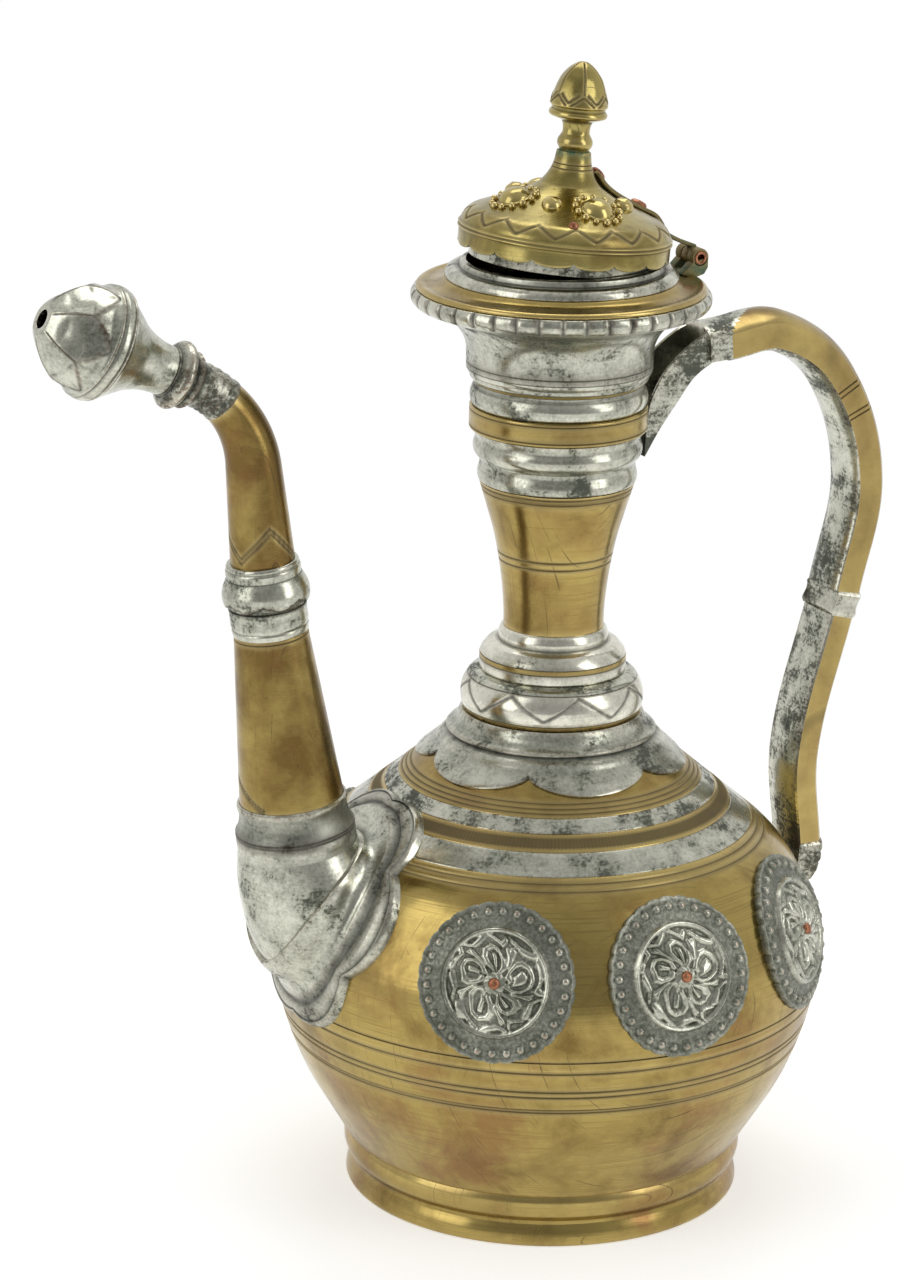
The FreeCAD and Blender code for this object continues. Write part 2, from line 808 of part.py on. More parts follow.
def medallion_blank():
    lobed = scallops(medallion_lobes, medallion_r, medallion_r - medallion_lobe_depth)
    field = disc(medallion_r - medallion_rim_width)
    ridge = disc(medallion_ridge_r).cut(disc(medallion_ridge_r - medallion_ridge_width))
    plate = medallion_layer(lobed.copy(), medallion_t)
    rim = medallion_layer(lobed, medallion_rim_t).cut(medallion_layer(field, 2 * medallion_rim_t))
    ring = medallion_layer(ridge, medallion_rim_t)
    boss = medallion_layer(disc(medallion_boss_r), medallion_rim_t)
    whole = plate.fuse([rim, ring, boss]).removeSplitter()
    return whole.cut(belly_block()).cut(rivet_shank(0))


def rivet_shank(turn):
    depth = wall + rivet_tail_t / 2
    shank = Part.makeCylinder(rivet_shank_r, depth + medallion_rim_t, V(0, 0, -depth))
    return on_belly(shank, medallion_tilt, turn)


def medallion_rivet(turn):
    # The tail stops short of the wall's hollow face by as much as that face bends under it.
    tail_z = -wall - rivet_head_r * rivet_head_r / (2 * (shoulder_bend_r - wall))
    low = tail_z - rivet_tail_t
    rise = rivet_head_r * math.sqrt(0.5)
    rivet = turned((0, low), (rivet_head_r, low), (rivet_head_r, tail_z), (rivet_shank_r, tail_z),
                   (rivet_shank_r, medallion_rim_t), (rivet_head_r, medallion_rim_t),
                   (rise, medallion_rim_t + rise, 0, medallion_rim_t + rivet_head_r))
    return on_belly(rivet, medallion_tilt, turn)


def hinge_leaf():
    # Two knuckles on a sheet foot that is brazed to the flange.
    low = z_flange
    inside = flange_r - rim_lap - 2 * leaf_t
    foot = outline((inside, low), (hinge_x + knuckle_barrel_r - leaf_t, low),
                   (hinge_x + knuckle_barrel_r, low + leaf_t), (hinge_x + knuckle_barrel_r, hinge_z),
                   (hinge_x - knuckle_barrel_r * 0.9, hinge_z - knuckle_barrel_r * 0.4))
    half = hinge_width / 2
    leaf = slab(foot, hinge_width).fuse(barrel(hinge_x, hinge_z, knuckle_barrel_r, -half, half))
    middle = hinge_mid_width / 2 + knuckle_gap
    leaf = leaf.cut(barrel(hinge_x, hinge_z, knuckle_barrel_r + knuckle_gap, -middle, middle))
    leaf = leaf.cut(barrel(hinge_x, hinge_z, pin_r, -half, half))
    return leaf.cut(flange_ring()).cut(mouth_collar()).cut(mouth_cup())


def hinge_pin():
    half = hinge_width / 2 + pin_proud
    pin = barrel(hinge_x, hinge_z, pin_r, -half, half)
    return pin.cut(barrel(hinge_x, hinge_z, pin_bore_r, -half, half))


def dome_profile(grow):
    lean = math.atan2(dome_slope_rise, skirt_r - dome_shoulder_in - dome_slope_r)
    out = grow * math.sin(lean)
    up = grow * math.cos(lean)
    shoulder = (skirt_r - dome_shoulder_in + out, z_shoulder + up)
    round_mid = (skirt_r - 0.28 * dome_shoulder_in + 0.8 * grow,
                 z_dome + 0.5 * dome_shoulder_rise + 0.6 * grow)
    waist = (spire_waist_r + 0.7 * grow, z_spire_waist + 0.7 * grow)
    return [(skirt_r + grow, z_skirt), (skirt_r + grow, z_dome), round_mid + shoulder,
            (dome_slope_r + out, z_slope + up), waist + (spire_top_r + grow, z_spire)]


def dome_block(grow=0.0):
    return turned((0, z_skirt), *dome_profile(grow), (0, z_spire))


def lid_dome():
    hollow = dome_block(-lid_wall)
    cap = Part.makeCylinder(skirt_r, washer_t, V(0, 0, z_spire - washer_t))
    dome = dome_block().cut(hollow.cut(cap))
    dome = dome.cut(Part.makeCylinder(finial_shank_r, 2 * washer_t, V(0, 0, z_spire - 2 * washer_t)))
    notch_foot = V(skirt_r - 1.5 * lid_wall, 0, z_skirt)
    notch = Part.makeCylinder(skirt_notch_r, 2 * lid_wall, notch_foot, x_axis)
    notches = []
    for count in range(skirt_scallops):
        cut = notch.copy()
        cut.rotate(origin, z_axis, 360 * (count + 0.5) / skirt_scallops)
        notches.append(cut)
    dome = dome.cut(Part.makeCompound(notches))
    return dome.cut(strap_shanks()).cut(stud_shank())


def lid_plug():
    outer = lip_bore_r - plug_clearance
    seat = z_lip_top + plug_seat_gap
    return turned((outer - plug_wall, z_lip - plug_depth), (outer, z_lip - plug_depth), (outer, seat),
                  (skirt_r - lid_wall, seat), (skirt_r - lid_wall, seat + plug_flange_t),
                  (outer - plug_wall, seat + plug_flange_t))


dome_lean = math.degrees(math.atan2(dome_slope_rise, skirt_r - dome_shoulder_in - dome_slope_r))


def on_dome(shape, share, turn):
    # Sets a shape on the straight slope of the lid, share 0 at its top and 1 at its foot.
    r = dome_slope_r + share * (skirt_r - dome_shoulder_in - dome_slope_r)
    shape.rotate(origin, y_axis, dome_lean)
    shape.translate(V(r, 0, z_slope - share * dome_slope_rise))
    shape.rotate(origin, z_axis, turn)
    return shape


def cap_of(radius, height):
    sphere_r = (radius * radius + height * height) / (2 * height)
    return Part.makeSphere(sphere_r, V(0, 0, height - sphere_r))


def flower_boss(turn):
    depth = boss_height / 2
    base = Part.makeCylinder(granule_ring_r + granule_r * 0.6, depth + granule_r * 0.4, V(0, 0, -depth))
    pieces = [cap_of(boss_r, boss_height).common(Part.makeCylinder(boss_r, 2 * boss_height, V(0, 0, -depth)))]
    for count in range(granule_count):
        a = 2 * math.pi * count / granule_count
        place = V(granule_ring_r * math.cos(a), granule_ring_r * math.sin(a), granule_r * 0.4)
        pieces.append(Part.makeSphere(granule_r, place))
    flower = on_dome(base.fuse(pieces).removeSplitter(), 0.22, turn)
    return flower.cut(dome_block())


def small_boss(turn):
    return on_dome(cap_of(small_boss_r, small_boss_r * 0.55), 0.1, turn).cut(dome_block())


def stud_shank():
    return on_dome(Part.makeCylinder(stud_r / 2, 2 * stud_r, V(0, 0, -2 * stud_r)), 0.82, 270 + stud_turn)


def lid_stud():
    shank = Part.makeCylinder(stud_r / 2, 2 * lid_wall, V(0, 0, -2 * lid_wall))
    head = Part.makeSphere(stud_r, origin, z_axis, 0, 90)
    return on_dome(head.fuse(shank).removeSplitter(), 0.82, 270 + stud_turn)


def strap_seats():
    # Where the strap's two rivets stand: radius, height and lean of the lid there.
    middle = (dome_slope_r + skirt_r - dome_shoulder_in) / 2
    return [(spire_waist_r, z_spire_waist, strap_top_lean),
            (middle, z_slope - dome_slope_rise / 2, dome_lean)]


def on_strap(shape, seat):
    shape.rotate(origin, y_axis, seat[2])
    shape.translate(V(seat[0], 0, seat[1]))
    return shape


def strap_shank(seat):
    return on_strap(Part.makeCylinder(rivet_shank_r, strap_t + 3 * lid_wall, V(0, 0, -3 * lid_wall)), seat)


def strap_shanks():
    return Part.makeCompound([strap_shank(seat) for seat in strap_seats()])


def hinge_strap():
    # A strip up the lid's slope whose tail is rolled into the middle knuckle.
    start = spire_waist_r - strap_rivet_r
    length = skirt_r + strap_t - start
    strip = Part.makeBox(length, strap_width, z_spire - z_skirt,
                         V(start, -strap_width / 2, z_skirt + lid_gap))
    strip = strip.common(dome_block(strap_t))
    top = hinge_z + knuckle_barrel_r
    tail = outline((skirt_r - lid_wall, z_dome - lid_wall), (hinge_x, top), (hinge_x, top - 1.4 * strap_t),
                   (skirt_r - lid_wall, z_dome - 2.6 * strap_t))
    half = hinge_mid_width / 2
    knuckle = barrel(hinge_x, hinge_z, knuckle_barrel_r, -half, half)
    strap = strip.fuse([slab(tail, hinge_mid_width), knuckle]).removeSplitter()
    strap = strap.cut(barrel(hinge_x, hinge_z, pin_r + pin_clearance, -half, half))
    return strap.cut(dome_block()).cut(strap_shanks())


def strap_rivet(seat):
    head = on_strap(Part.makeSphere(strap_rivet_r, V(0, 0, strap_t - strap_rivet_r * 0.5)), seat)
    return head.cut(dome_block(strap_t)).fuse(strap_shank(seat)).removeSplitter()


def finial():
    z_stem = z_spire + finial_bead_height
    z_collar_low = z_stem + finial_stem_height
    z_acorn = z_collar_low + finial_collar_height
    tip = z_acorn + acorn_height
    stem_mid = (finial_stem_r, z_stem + 0.3 * finial_stem_height)
    return turned((0, z_spire - finial_shank_length), (finial_shank_r, z_spire - finial_shank_length),
                  (finial_shank_r, z_spire), (finial_foot_r, z_spire),
                  (finial_bead_r, z_spire + finial_bead_height / 2, finial_waist_r, z_stem),
                  stem_mid + (finial_collar_r, z_collar_low),
                  (finial_collar_r, z_collar_low + 0.3 * finial_collar_height),
                  (acorn_r - acorn_tip_r, z_collar_low + 0.6 * finial_collar_height), (acorn_r, z_acorn),
                  (0.72 * acorn_r, z_acorn + 0.6 * acorn_height, acorn_tip_r, tip), (0, tip))


def finial_washer():
    ring = Part.makeCylinder(washer_r, washer_t, V(0, 0, z_spire - 2 * washer_t))
    return ring.cut(Part.makeCylinder(finial_shank_r, washer_t, V(0, 0, z_spire - 2 * washer_t)))


def set_ajar(shape):
    shape.rotate(V(hinge_x, 0, hinge_z), y_axis, ajar)
    return shape


def pot_parts():
    hollow = boot_block(-spout_wall)
    parts = {
        "foot_ring": foot_ring(), "bottom_plate": bottom_plate(),
        "lower_bowl": lower_bowl(), "shoulder_shell": shoulder_shell(),
        "shoulder_band_lower": cone_ring(z_band_lower, z_milled),
        "milled_band": cone_ring(z_milled, z_band_upper),
        "shoulder_band_upper": cone_ring(z_band_upper, z_ring),
        "shoulder_ring": cone_ring(z_ring, z_collar),
        "shoulder_collar": shoulder_collar(), "zigzag_collar": zigzag_collar(),
        "neck_step_ring": neck_step_ring(), "neck_tube": neck_tube(),
        "neck_ring_lower": neck_ring_lower(), "neck_brass_band": neck_brass_band(),
        "neck_ring_upper": neck_ring_upper(), "mouth_cup": mouth_cup(),
        "flange_ring": flange_ring(), "mouth_collar": mouth_collar(),
        "spout_escutcheon": spout_escutcheon(hollow), "spout_boot": spout_boot(hollow),
        "spout_lower_tube": spout_lower_tube(), "spout_knuckle": spout_knuckle(),
        "spout_upper_tube": spout_upper_tube(), "spout_ferrule": spout_ferrule(),
        "spout_nozzle": spout_nozzle(),
        "handle_bracket": handle_bracket(), "handle_foot": handle_foot(),
        "handle_upper_channel": handle_channel(bar_start, ferrule_top),
        "handle_upper_strip": handle_strip(bar_start, ferrule_top),
        "handle_mid_ferrule": handle_mid_ferrule(),
        "handle_lower_channel": handle_channel(ferrule_foot, bar_end),
        "handle_lower_strip": handle_strip(ferrule_foot, bar_end),
        "hinge_leaf": hinge_leaf(), "hinge_pin": hinge_pin(),
        "medallion_rivets": Part.makeCompound([medallion_rivet(turn) for turn in medallion_turns()]),
    }
    blank = medallion_blank()
    for number, turn in enumerate(medallion_turns(), 1):
        parts["medallion_%d" % number] = blank.rotated(origin, z_axis, turn)
    return parts


def lid_parts():
    parts = {
        "lid_dome": lid_dome(), "lid_plug": lid_plug(), "lid_stud": lid_stud(),
        "lid_flower_bosses": Part.makeCompound([flower_boss(turn) for turn in (90, 180, 270)]),
        "lid_small_bosses": Part.makeCompound([small_boss(turn) for turn in (45, 135, 225, 315)]),
        "hinge_strap": hinge_strap(),
        "strap_rivets": Part.makeCompound([strap_rivet(seat) for seat in strap_seats()]),
        "finial": finial(), "finial_washer": finial_washer(),
    }
    return {name: set_ajar(shape) for name, shape in parts.items()}


os.makedirs("parts", exist_ok=True)
for name, shape in {**pot_parts(), **lid_parts()}.items():
    shape.exportStep("parts/%s.step" % name)
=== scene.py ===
from math import atan2, ceil, cos, degrees, exp, hypot, pi, radians, sin, sqrt, tan

import bmesh
import bpy
from mathutils import Matrix, Vector
from mathutils.geometry import interpolate_bezier


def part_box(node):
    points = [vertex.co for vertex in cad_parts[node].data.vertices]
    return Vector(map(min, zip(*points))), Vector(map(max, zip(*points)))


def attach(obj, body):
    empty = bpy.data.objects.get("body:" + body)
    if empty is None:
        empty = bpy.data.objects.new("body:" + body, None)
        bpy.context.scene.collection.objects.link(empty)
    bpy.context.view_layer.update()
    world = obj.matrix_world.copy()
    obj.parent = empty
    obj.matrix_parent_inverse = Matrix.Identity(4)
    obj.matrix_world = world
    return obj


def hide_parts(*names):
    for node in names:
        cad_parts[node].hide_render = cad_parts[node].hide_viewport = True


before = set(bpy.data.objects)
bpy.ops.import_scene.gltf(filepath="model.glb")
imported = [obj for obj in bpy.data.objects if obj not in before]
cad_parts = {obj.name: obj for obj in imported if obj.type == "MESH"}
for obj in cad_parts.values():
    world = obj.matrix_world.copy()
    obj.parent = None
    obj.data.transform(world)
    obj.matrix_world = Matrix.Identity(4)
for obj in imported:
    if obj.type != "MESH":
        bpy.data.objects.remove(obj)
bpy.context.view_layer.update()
mm = 0.001
photoTurn = 28   # the photo looks from 28 degrees left of -Y
print("frame loaded:", len(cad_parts), "nodes")


# Small tools that every piece uses. Meshes are drawn in millimetres.

def nodeName(name):
    # A piece has the name of the CAD node that it stands for, lidDome for lid_dome
    return "".join("_" + letter.lower() if letter.isupper() else letter for letter in name)


def nodeBase(name):
    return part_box(nodeName(name))[0][2] / mm


def fromAxis(point):
    return hypot(point.x, point.y)


def turnsRound(count):
    return [2 * pi * number / count for number in range(count)]


def isVert(item):
    return isinstance(item, bmesh.types.BMVert)


def newMesh():
    bm = bmesh.new()
    for layer in ("grime", "wear", "relief", "verdigris"):
        bm.verts.layers.float.new(layer)
    bm.verts.layers.int.new("spot")
    return bm


def drawOutline(outline, base=0.0):
    # A closed wire in the XZ plane, from (radius, rise, corner rounding) rows
    bm = newMesh()
    verts = [bm.verts.new((r, 0, base + rise)) for r, rise, size in outline]
    for pair in zip(verts, verts[1:] + verts[:1]):
        bm.edges.new(pair)
    corners = [(vert, row[2]) for vert, row in zip(verts, outline)]
    for size in sorted({size for vert, size in corners if size > 0}, reverse=True):
        picked = [vert for vert, own in corners if own == size]
        bmesh.ops.bevel(bm, geom=picked, offset=size, offset_type="OFFSET", affect="VERTICES",
                        segments=max(3, min(14, round(3 + size * 1.2))), profile=0.5, material=-1)
    return bm


def scoreLines(bm, lines, base=0.0):
    # Turned V grooves: each line is (rise, width, depth) and is cut into the outermost edge. The floor of each groove
    # is darkened, partly as grime and partly as painted shade.
    grime = bm.verts.layers.float["grime"]
    for rise, width, depth in lines:
        for shift in (-width / 2, 0, width / 2):
            bmesh.ops.bisect_plane(bm, geom=bm.verts[:] + bm.edges[:], dist=1e-5,
                                   plane_co=(0, 0, base + rise + shift), plane_no=(0, 0, 1))
        level = [vert for vert in bm.verts if abs(vert.co.z - base - rise) < 1e-3]
        floor = max(level, key=lambda vert: vert.co.x)
        floor.co.x -= depth
        floor[grime] = 1.0


def splitLong(bm, length):
    # Short steps along the outline, so that chased work has points to push
    for edge in [edge for edge in bm.edges if edge.calc_length() > length]:
        bmesh.ops.subdivide_edges(bm, edges=[edge], cuts=ceil(edge.calc_length() / length) - 1)


def spinRound(bm, steps):
    bmesh.ops.spin(bm, geom=bm.verts[:] + bm.edges[:], cent=(0, 0, 0), axis=(0, 0, 1), dvec=(0, 0, 0),
                   angle=2 * pi, steps=steps, use_merge=True, use_duplicate=False)
    bmesh.ops.remove_doubles(bm, verts=bm.verts, dist=1e-4)
    bmesh.ops.recalc_face_normals(bm, faces=bm.faces)


def turnShape(look, steps, fine=0.0, base=0.0):
    bm = drawOutline(look["outline"], base)
    scoreLines(bm, look.get("lines", ()), base)
    if fine:
        splitLong(bm, fine)
    spinRound(bm, steps)
    return bm


def sweep(rings, ends="cap"):
    # The first ring is drawn, each next one is extruded from it and set in its place
    bm = newMesh()
    spot = bm.verts.layers.int["spot"]
    verts = [bm.verts.new(point) for point in rings[0]]
    for number, vert in enumerate(verts):
        vert[spot] = number
    first = edges = [bm.edges.new(pair) for pair in zip(verts, verts[1:] + verts[:1])]
    for ring in rings[1:]:
        grown = bmesh.ops.extrude_edge_only(bm, edges=edges)["geom"]
        edges = [item for item in grown if isinstance(item, bmesh.types.BMEdge)]
        for vert in filter(isVert, grown):
            vert.co = ring[vert[spot]]
    if ends == "cap":
        for loop in (first, edges):
            bmesh.ops.contextual_create(bm, geom=loop)
    elif ends == "bridge":
        bmesh.ops.bridge_loops(bm, edges=[edge for edge in bm.edges if edge.is_boundary])
    bmesh.ops.recalc_face_normals(bm, faces=bm.faces)
    return bm


def repeatAt(bm, seats):
    # What is drawn is copied to each seat and then taken away
    first = bm.verts[:] + bm.edges[:] + bm.faces[:]
    for seat in seats:
        made = bmesh.ops.duplicate(bm, geom=first)["geom"]
        bmesh.ops.transform(bm, matrix=seat, verts=list(filter(isVert, made)))
    bmesh.ops.delete(bm, geom=list(filter(isVert, first)), context="VERTS")


def stain(bm, layerName, amountAt):
    layer = bm.verts.layers.float[layerName]
    for vert in bm.verts:
        vert[layer] = amountAt(vert.co)


def engrave(bm, depthAt, darkening=1.0):
    # Pushes the surface in by depthAt(point) and darkens the cut by its depth, partly as grime and partly as painted
    # shade in the groove
    grime = bm.verts.layers.float["grime"]
    bm.normal_update()
    cuts = [(vert, depthAt(vert.co)) for vert in bm.verts]
    deepest = max(abs(depth) for vert, depth in cuts) or 1.0
    for vert, depth in cuts:
        if depth:
            vert.co -= vert.normal * depth
            vert[grime] = max(vert[grime], darkening * max(0.0, depth) / deepest)


def groove(distance, width, depth):
    # A V cut with soft lips, as a punch or graver leaves
    return depth * max(0.0, 1 - abs(distance) / width) ** 1.5


def zigzagGap(along, height, tooth, low, high):
    # Distance from a point to a zigzag line that runs between two heights
    share = abs((along / tooth) % 1.0 - 0.5) * 2
    level = low + (high - low) * share
    lean = 2 * (high - low) / tooth
    return (height - level) / sqrt(1 + lean * lean)


weatheringAndShade = {"plain": 3, "full": 12, "longest": 2.2, "keep": 0.86}   # degrees of bend, and mm of edge


def weatherAndShade(bm, spread):
    # Hollow edges are darkened, partly as grime and partly as painted shade, and proud ones are rubbed bare, less so
    # where long faces would smear it
    bm.normal_update()
    bm.verts.index_update()
    bends = [0.0] * len(bm.verts)
    longest = [0.0] * len(bm.verts)
    for edge in bm.edges:
        bend, length = degrees(edge.calc_face_angle_signed(0.0)), edge.calc_length()
        for vert in edge.verts:
            bends[vert.index] += bend
            longest[vert.index] = max(longest[vert.index], length)
    near = [[edge.other_vert(vert).index for edge in vert.link_edges] for vert in bm.verts]
    plain, full = weatheringAndShade["plain"], weatheringAndShade["full"]
    for name, side in (("wear", 1), ("grime", -1)):
        layer = bm.verts.layers.float[name]
        values = []
        for vert, bend, length, spots in zip(bm.verts, bends, longest, near):
            edged = min(1.0, max(0.0, (side * bend / len(spots) - plain) / (full - plain)))
            values.append(max(vert[layer], edged * min(1.0, weatheringAndShade["longest"] / length)))
        for turn in range(spread):
            values = [max(own * weatheringAndShade["keep"], sum(values[spot] for spot in spots) / len(spots))
                      for own, spots in zip(values, near)]
        for vert, value in zip(bm.verts, values):
            vert[layer] = value


def finishPiece(name, bm, finishes, body="pot", nodes=None, crease=38, spread=2):
    if spread:
        weatherAndShade(bm, spread)
    for edge in bm.edges:
        edge.smooth = edge.calc_face_angle(0.0) < radians(crease)
    for face in bm.faces:
        face.smooth = True
    bmesh.ops.scale(bm, vec=(mm, mm, mm), verts=bm.verts)
    mesh = bpy.data.meshes.new(name)
    bm.to_mesh(mesh)
    bm.free()
    for finish in finishes:
        mesh.materials.append(finish)
    piece = bpy.data.objects.new(name, mesh)
    bpy.context.scene.collection.objects.link(piece)
    nodes = [nodeName(name)] if nodes is None else nodes
    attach(piece, body)
    if nodes:
        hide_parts(*nodes)


# Finishes

def hexLinear(code, alpha=1.0):
    channels = [int(code[i:i + 2], 16) / 255 for i in (1, 3, 5)]
    return [c / 12.92 if c <= 0.04045 else ((c + 0.055) / 1.055) ** 2.4 for c in channels] + [alpha]


def addNode(tree, kind, settings=None, links=None):
    node = tree.nodes.new("ShaderNode" + kind)
    for key, value in (settings or {}).items():
        value = hexLinear(value) if str(value).startswith("#") else value
        if isinstance(key, int) or key in node.inputs:
            node.inputs[key].default_value = value
        else:
            setattr(node, key, value)
    for key, socket in (links or {}).items():
        tree.links.new(socket, node.inputs[key])
    return node


def makeFinish(name, rows):
    # Each row is (label, kind of node, settings, labels above it that its first sockets take)
    finish = bpy.data.materials.new(name)
    finish.use_nodes = True
    tree = finish.node_tree
    shader = tree.nodes["Principled BSDF"]
    shader.inputs["Metallic"].default_value = 1.0
    made = {"place": addNode(tree, "TexCoord").outputs["Object"]}
    for label, kind, settings, links in rows:
        mixesColours = "data_type" in settings
        if isinstance(links, str):
            links = dict(zip((0, 6) if mixesColours else (0, 1), links.split()))
        node = addNode(tree, kind, settings, {key: made[source] for key, source in links.items()})
        made[label] = node.outputs[2 if mixesColours or kind in ("Attribute", "SeparateXYZ") else 0]
    for label, socket in (("colour", "Base Color"), ("rough", "Roughness"), ("shine", "Metallic"), ("bumps", "Normal")):
        if label in made:
            tree.links.new(made[label], shader.inputs[socket])
    return finish


def perMm(size):
    return 1 / (size * mm)


# The grime colour is laid in hollows and cuts, partly as dirt and partly as painted shade
brassLook = {
    "polished": "#AC9759", "dull": "#6C552E", "flush": "#8A6240", "grime": "#231B10", "rubbed": "#D8C285",
    "verdigris": "#35604C", "olive": "#B6A767", "oliveDull": "#6C6034", "blotchMm": 24, "speckMm": 2.2,
    "lineMm": 0.55, "reachMm": 30, "nickMm": 0.3, "cloudMm": 34, "dentMm": 16, "smooth": 0.14, "rough": 0.35}


def agedBrass(name, turned=True, dullness=0.45, flush=0.25, flushTop=0.0, tones=("polished", "dull")):
    # Raised sheet brass, rubbed by hand for years: olive blotches, brown clouds, turning lines, and hollows darkened
    # partly as grime and partly as painted shade
    look = brassLook
    # Turning lines are longer than they are wide, so the pattern is squeezed along the axis
    across, along = perMm(look["reachMm"]), perMm(look["lineMm"])
    squeeze = (across, across, along) if turned else (along, across, across)
    rows = [
        ("blotch", "TexNoise", {"Scale": perMm(look["blotchMm"]), "Detail": 8, "Roughness": 0.64, "Distortion": 0.3},
         "place"),
        ("speck", "TexNoise", {"Scale": perMm(look["speckMm"]), "Detail": 5, "Roughness": 0.7}, "place"),
        ("cloud", "TexNoise", {"Scale": perMm(look["cloudMm"]), "Detail": 7, "Roughness": 0.66, "Distortion": 0.4},
         "place"),
        ("grain", "Mapping", {"Scale": squeeze}, "place"),
        ("lines", "TexNoise", {"Scale": 1.0, "Detail": 3}, "grain"),
        ("aslant", "Mapping", {"Rotation": (0.7, 0.5, 0.9), "Scale": (across, perMm(look["nickMm"]), across)}, "place"),
        ("nicks", "TexNoise", {"Scale": 1.0, "Detail": 2}, "aslant"),
        ("grime", "Attribute", {"attribute_name": "grime"}, ""),
        ("wear", "Attribute", {"attribute_name": "wear"}, ""),
        ("green", "Attribute", {"attribute_name": "verdigris"}, ""),
        ("dull", "MapRange", {"From Min": 0.68 - 0.5 * dullness, "From Max": 0.88 - 0.36 * dullness, "To Max": 0.9},
         "blotch"),
        ("streak", "MapRange", {"From Min": 0.5, "From Max": 0.74, "To Max": 0.5}, "lines"),
        ("dim", "Math", {"operation": "MAXIMUM"}, "dull streak"),
        ("colour", "Mix", {"data_type": "RGBA", 6: look[tones[0]], 7: look[tones[1]]}, "dim"),
        ("patch", "MapRange", {"From Min": 0.5, "From Max": 0.63, "To Max": flush}, "cloud")]
    if flushTop:
        # The lower belly has taken most of the brown, from heat and handling
        rows += [("height", "SeparateXYZ", {}, "place"),
                 ("low", "MapRange", {"From Min": flushTop, "From Max": flushTop * 0.5, "To Min": 0.45},
                  "height"),
                 ("patch", "Math", {"operation": "MULTIPLY"}, "low patch")]
    rows += [
        ("colour", "Mix", {"data_type": "RGBA", 7: look["flush"]}, "patch colour"),
        ("pits", "MapRange", {"From Min": 0.62, "From Max": 0.74, "To Max": 0.65}, "speck"),
        ("stain", "Math", {"operation": "MULTIPLY"}, "pits dim"),
        ("cuts", "MapRange", {"From Min": 0.66, "From Max": 0.72, "To Max": 0.45}, "nicks"),
        ("stain", "Math", {"operation": "MAXIMUM"}, "stain cuts"),
        # Pits and scratches darken the colour, and so does the grime layer, which is partly dirt and partly painted
        # shade in hollows and cuts
        ("dirt", "Math", {"operation": "MAXIMUM"}, "stain grime"),
        ("rubbed", "Math", {"operation": "MULTIPLY", 1: 0.6}, "wear"),
        ("colour", "Mix", {"data_type": "RGBA", 7: look["rubbed"]}, "rubbed colour"),
        ("colour", "Mix", {"data_type": "RGBA", 7: look["grime"]}, "dirt colour"),
        ("bloom", "MapRange", {"From Min": 0.35, "From Max": 0.6}, "speck"),
        ("crust", "Math", {"operation": "MULTIPLY"}, "green bloom"),
        ("colour", "Mix", {"data_type": "RGBA", 7: look["verdigris"]}, "crust colour"),
        ("soil", "Math", {"operation": "MAXIMUM"}, "dirt crust"),
        ("haze", "MapRange", {"From Min": 0.3, "From Max": 0.75, "To Min": look["smooth"], "To Max": look["rough"]},
         "blotch"),
        ("rough", "Mix", {3: 0.75}, {0: "soil", 2: "haze"}),
        ("shine", "MapRange", {"To Min": 1.0, "To Max": 0.35}, "soil"),
        ("dents", "TexNoise", {"Scale": perMm(look["dentMm"]), "Detail": 2}, "place"),
        ("hammered", "Bump", {"Strength": 0.45, "Distance": 0.4 * mm}, {"Height": "dents"}),
        ("bumps", "Bump", {"Strength": 0.35, "Distance": 0.06 * mm}, {"Height": "lines", "Normal": "hammered"})]
    return makeFinish(name, rows)


# The grime colour is laid in hollows and cuts, partly as dirt and partly as painted shade
tinLook = {
    "white": "#E4E1D2", "pale": "#BAB9A9", "bright": "#CBCBBC", "clouded": "#8B8D7F", "dark": "#44483C",
    "grime": "#20221C", "copper": "#A5745A", "blotchMm": 13, "speckMm": 1.1, "streakMm": 0.9, "reachMm": 22,
    "dentMm": 9, "smooth": 0.12, "rough": 0.34}


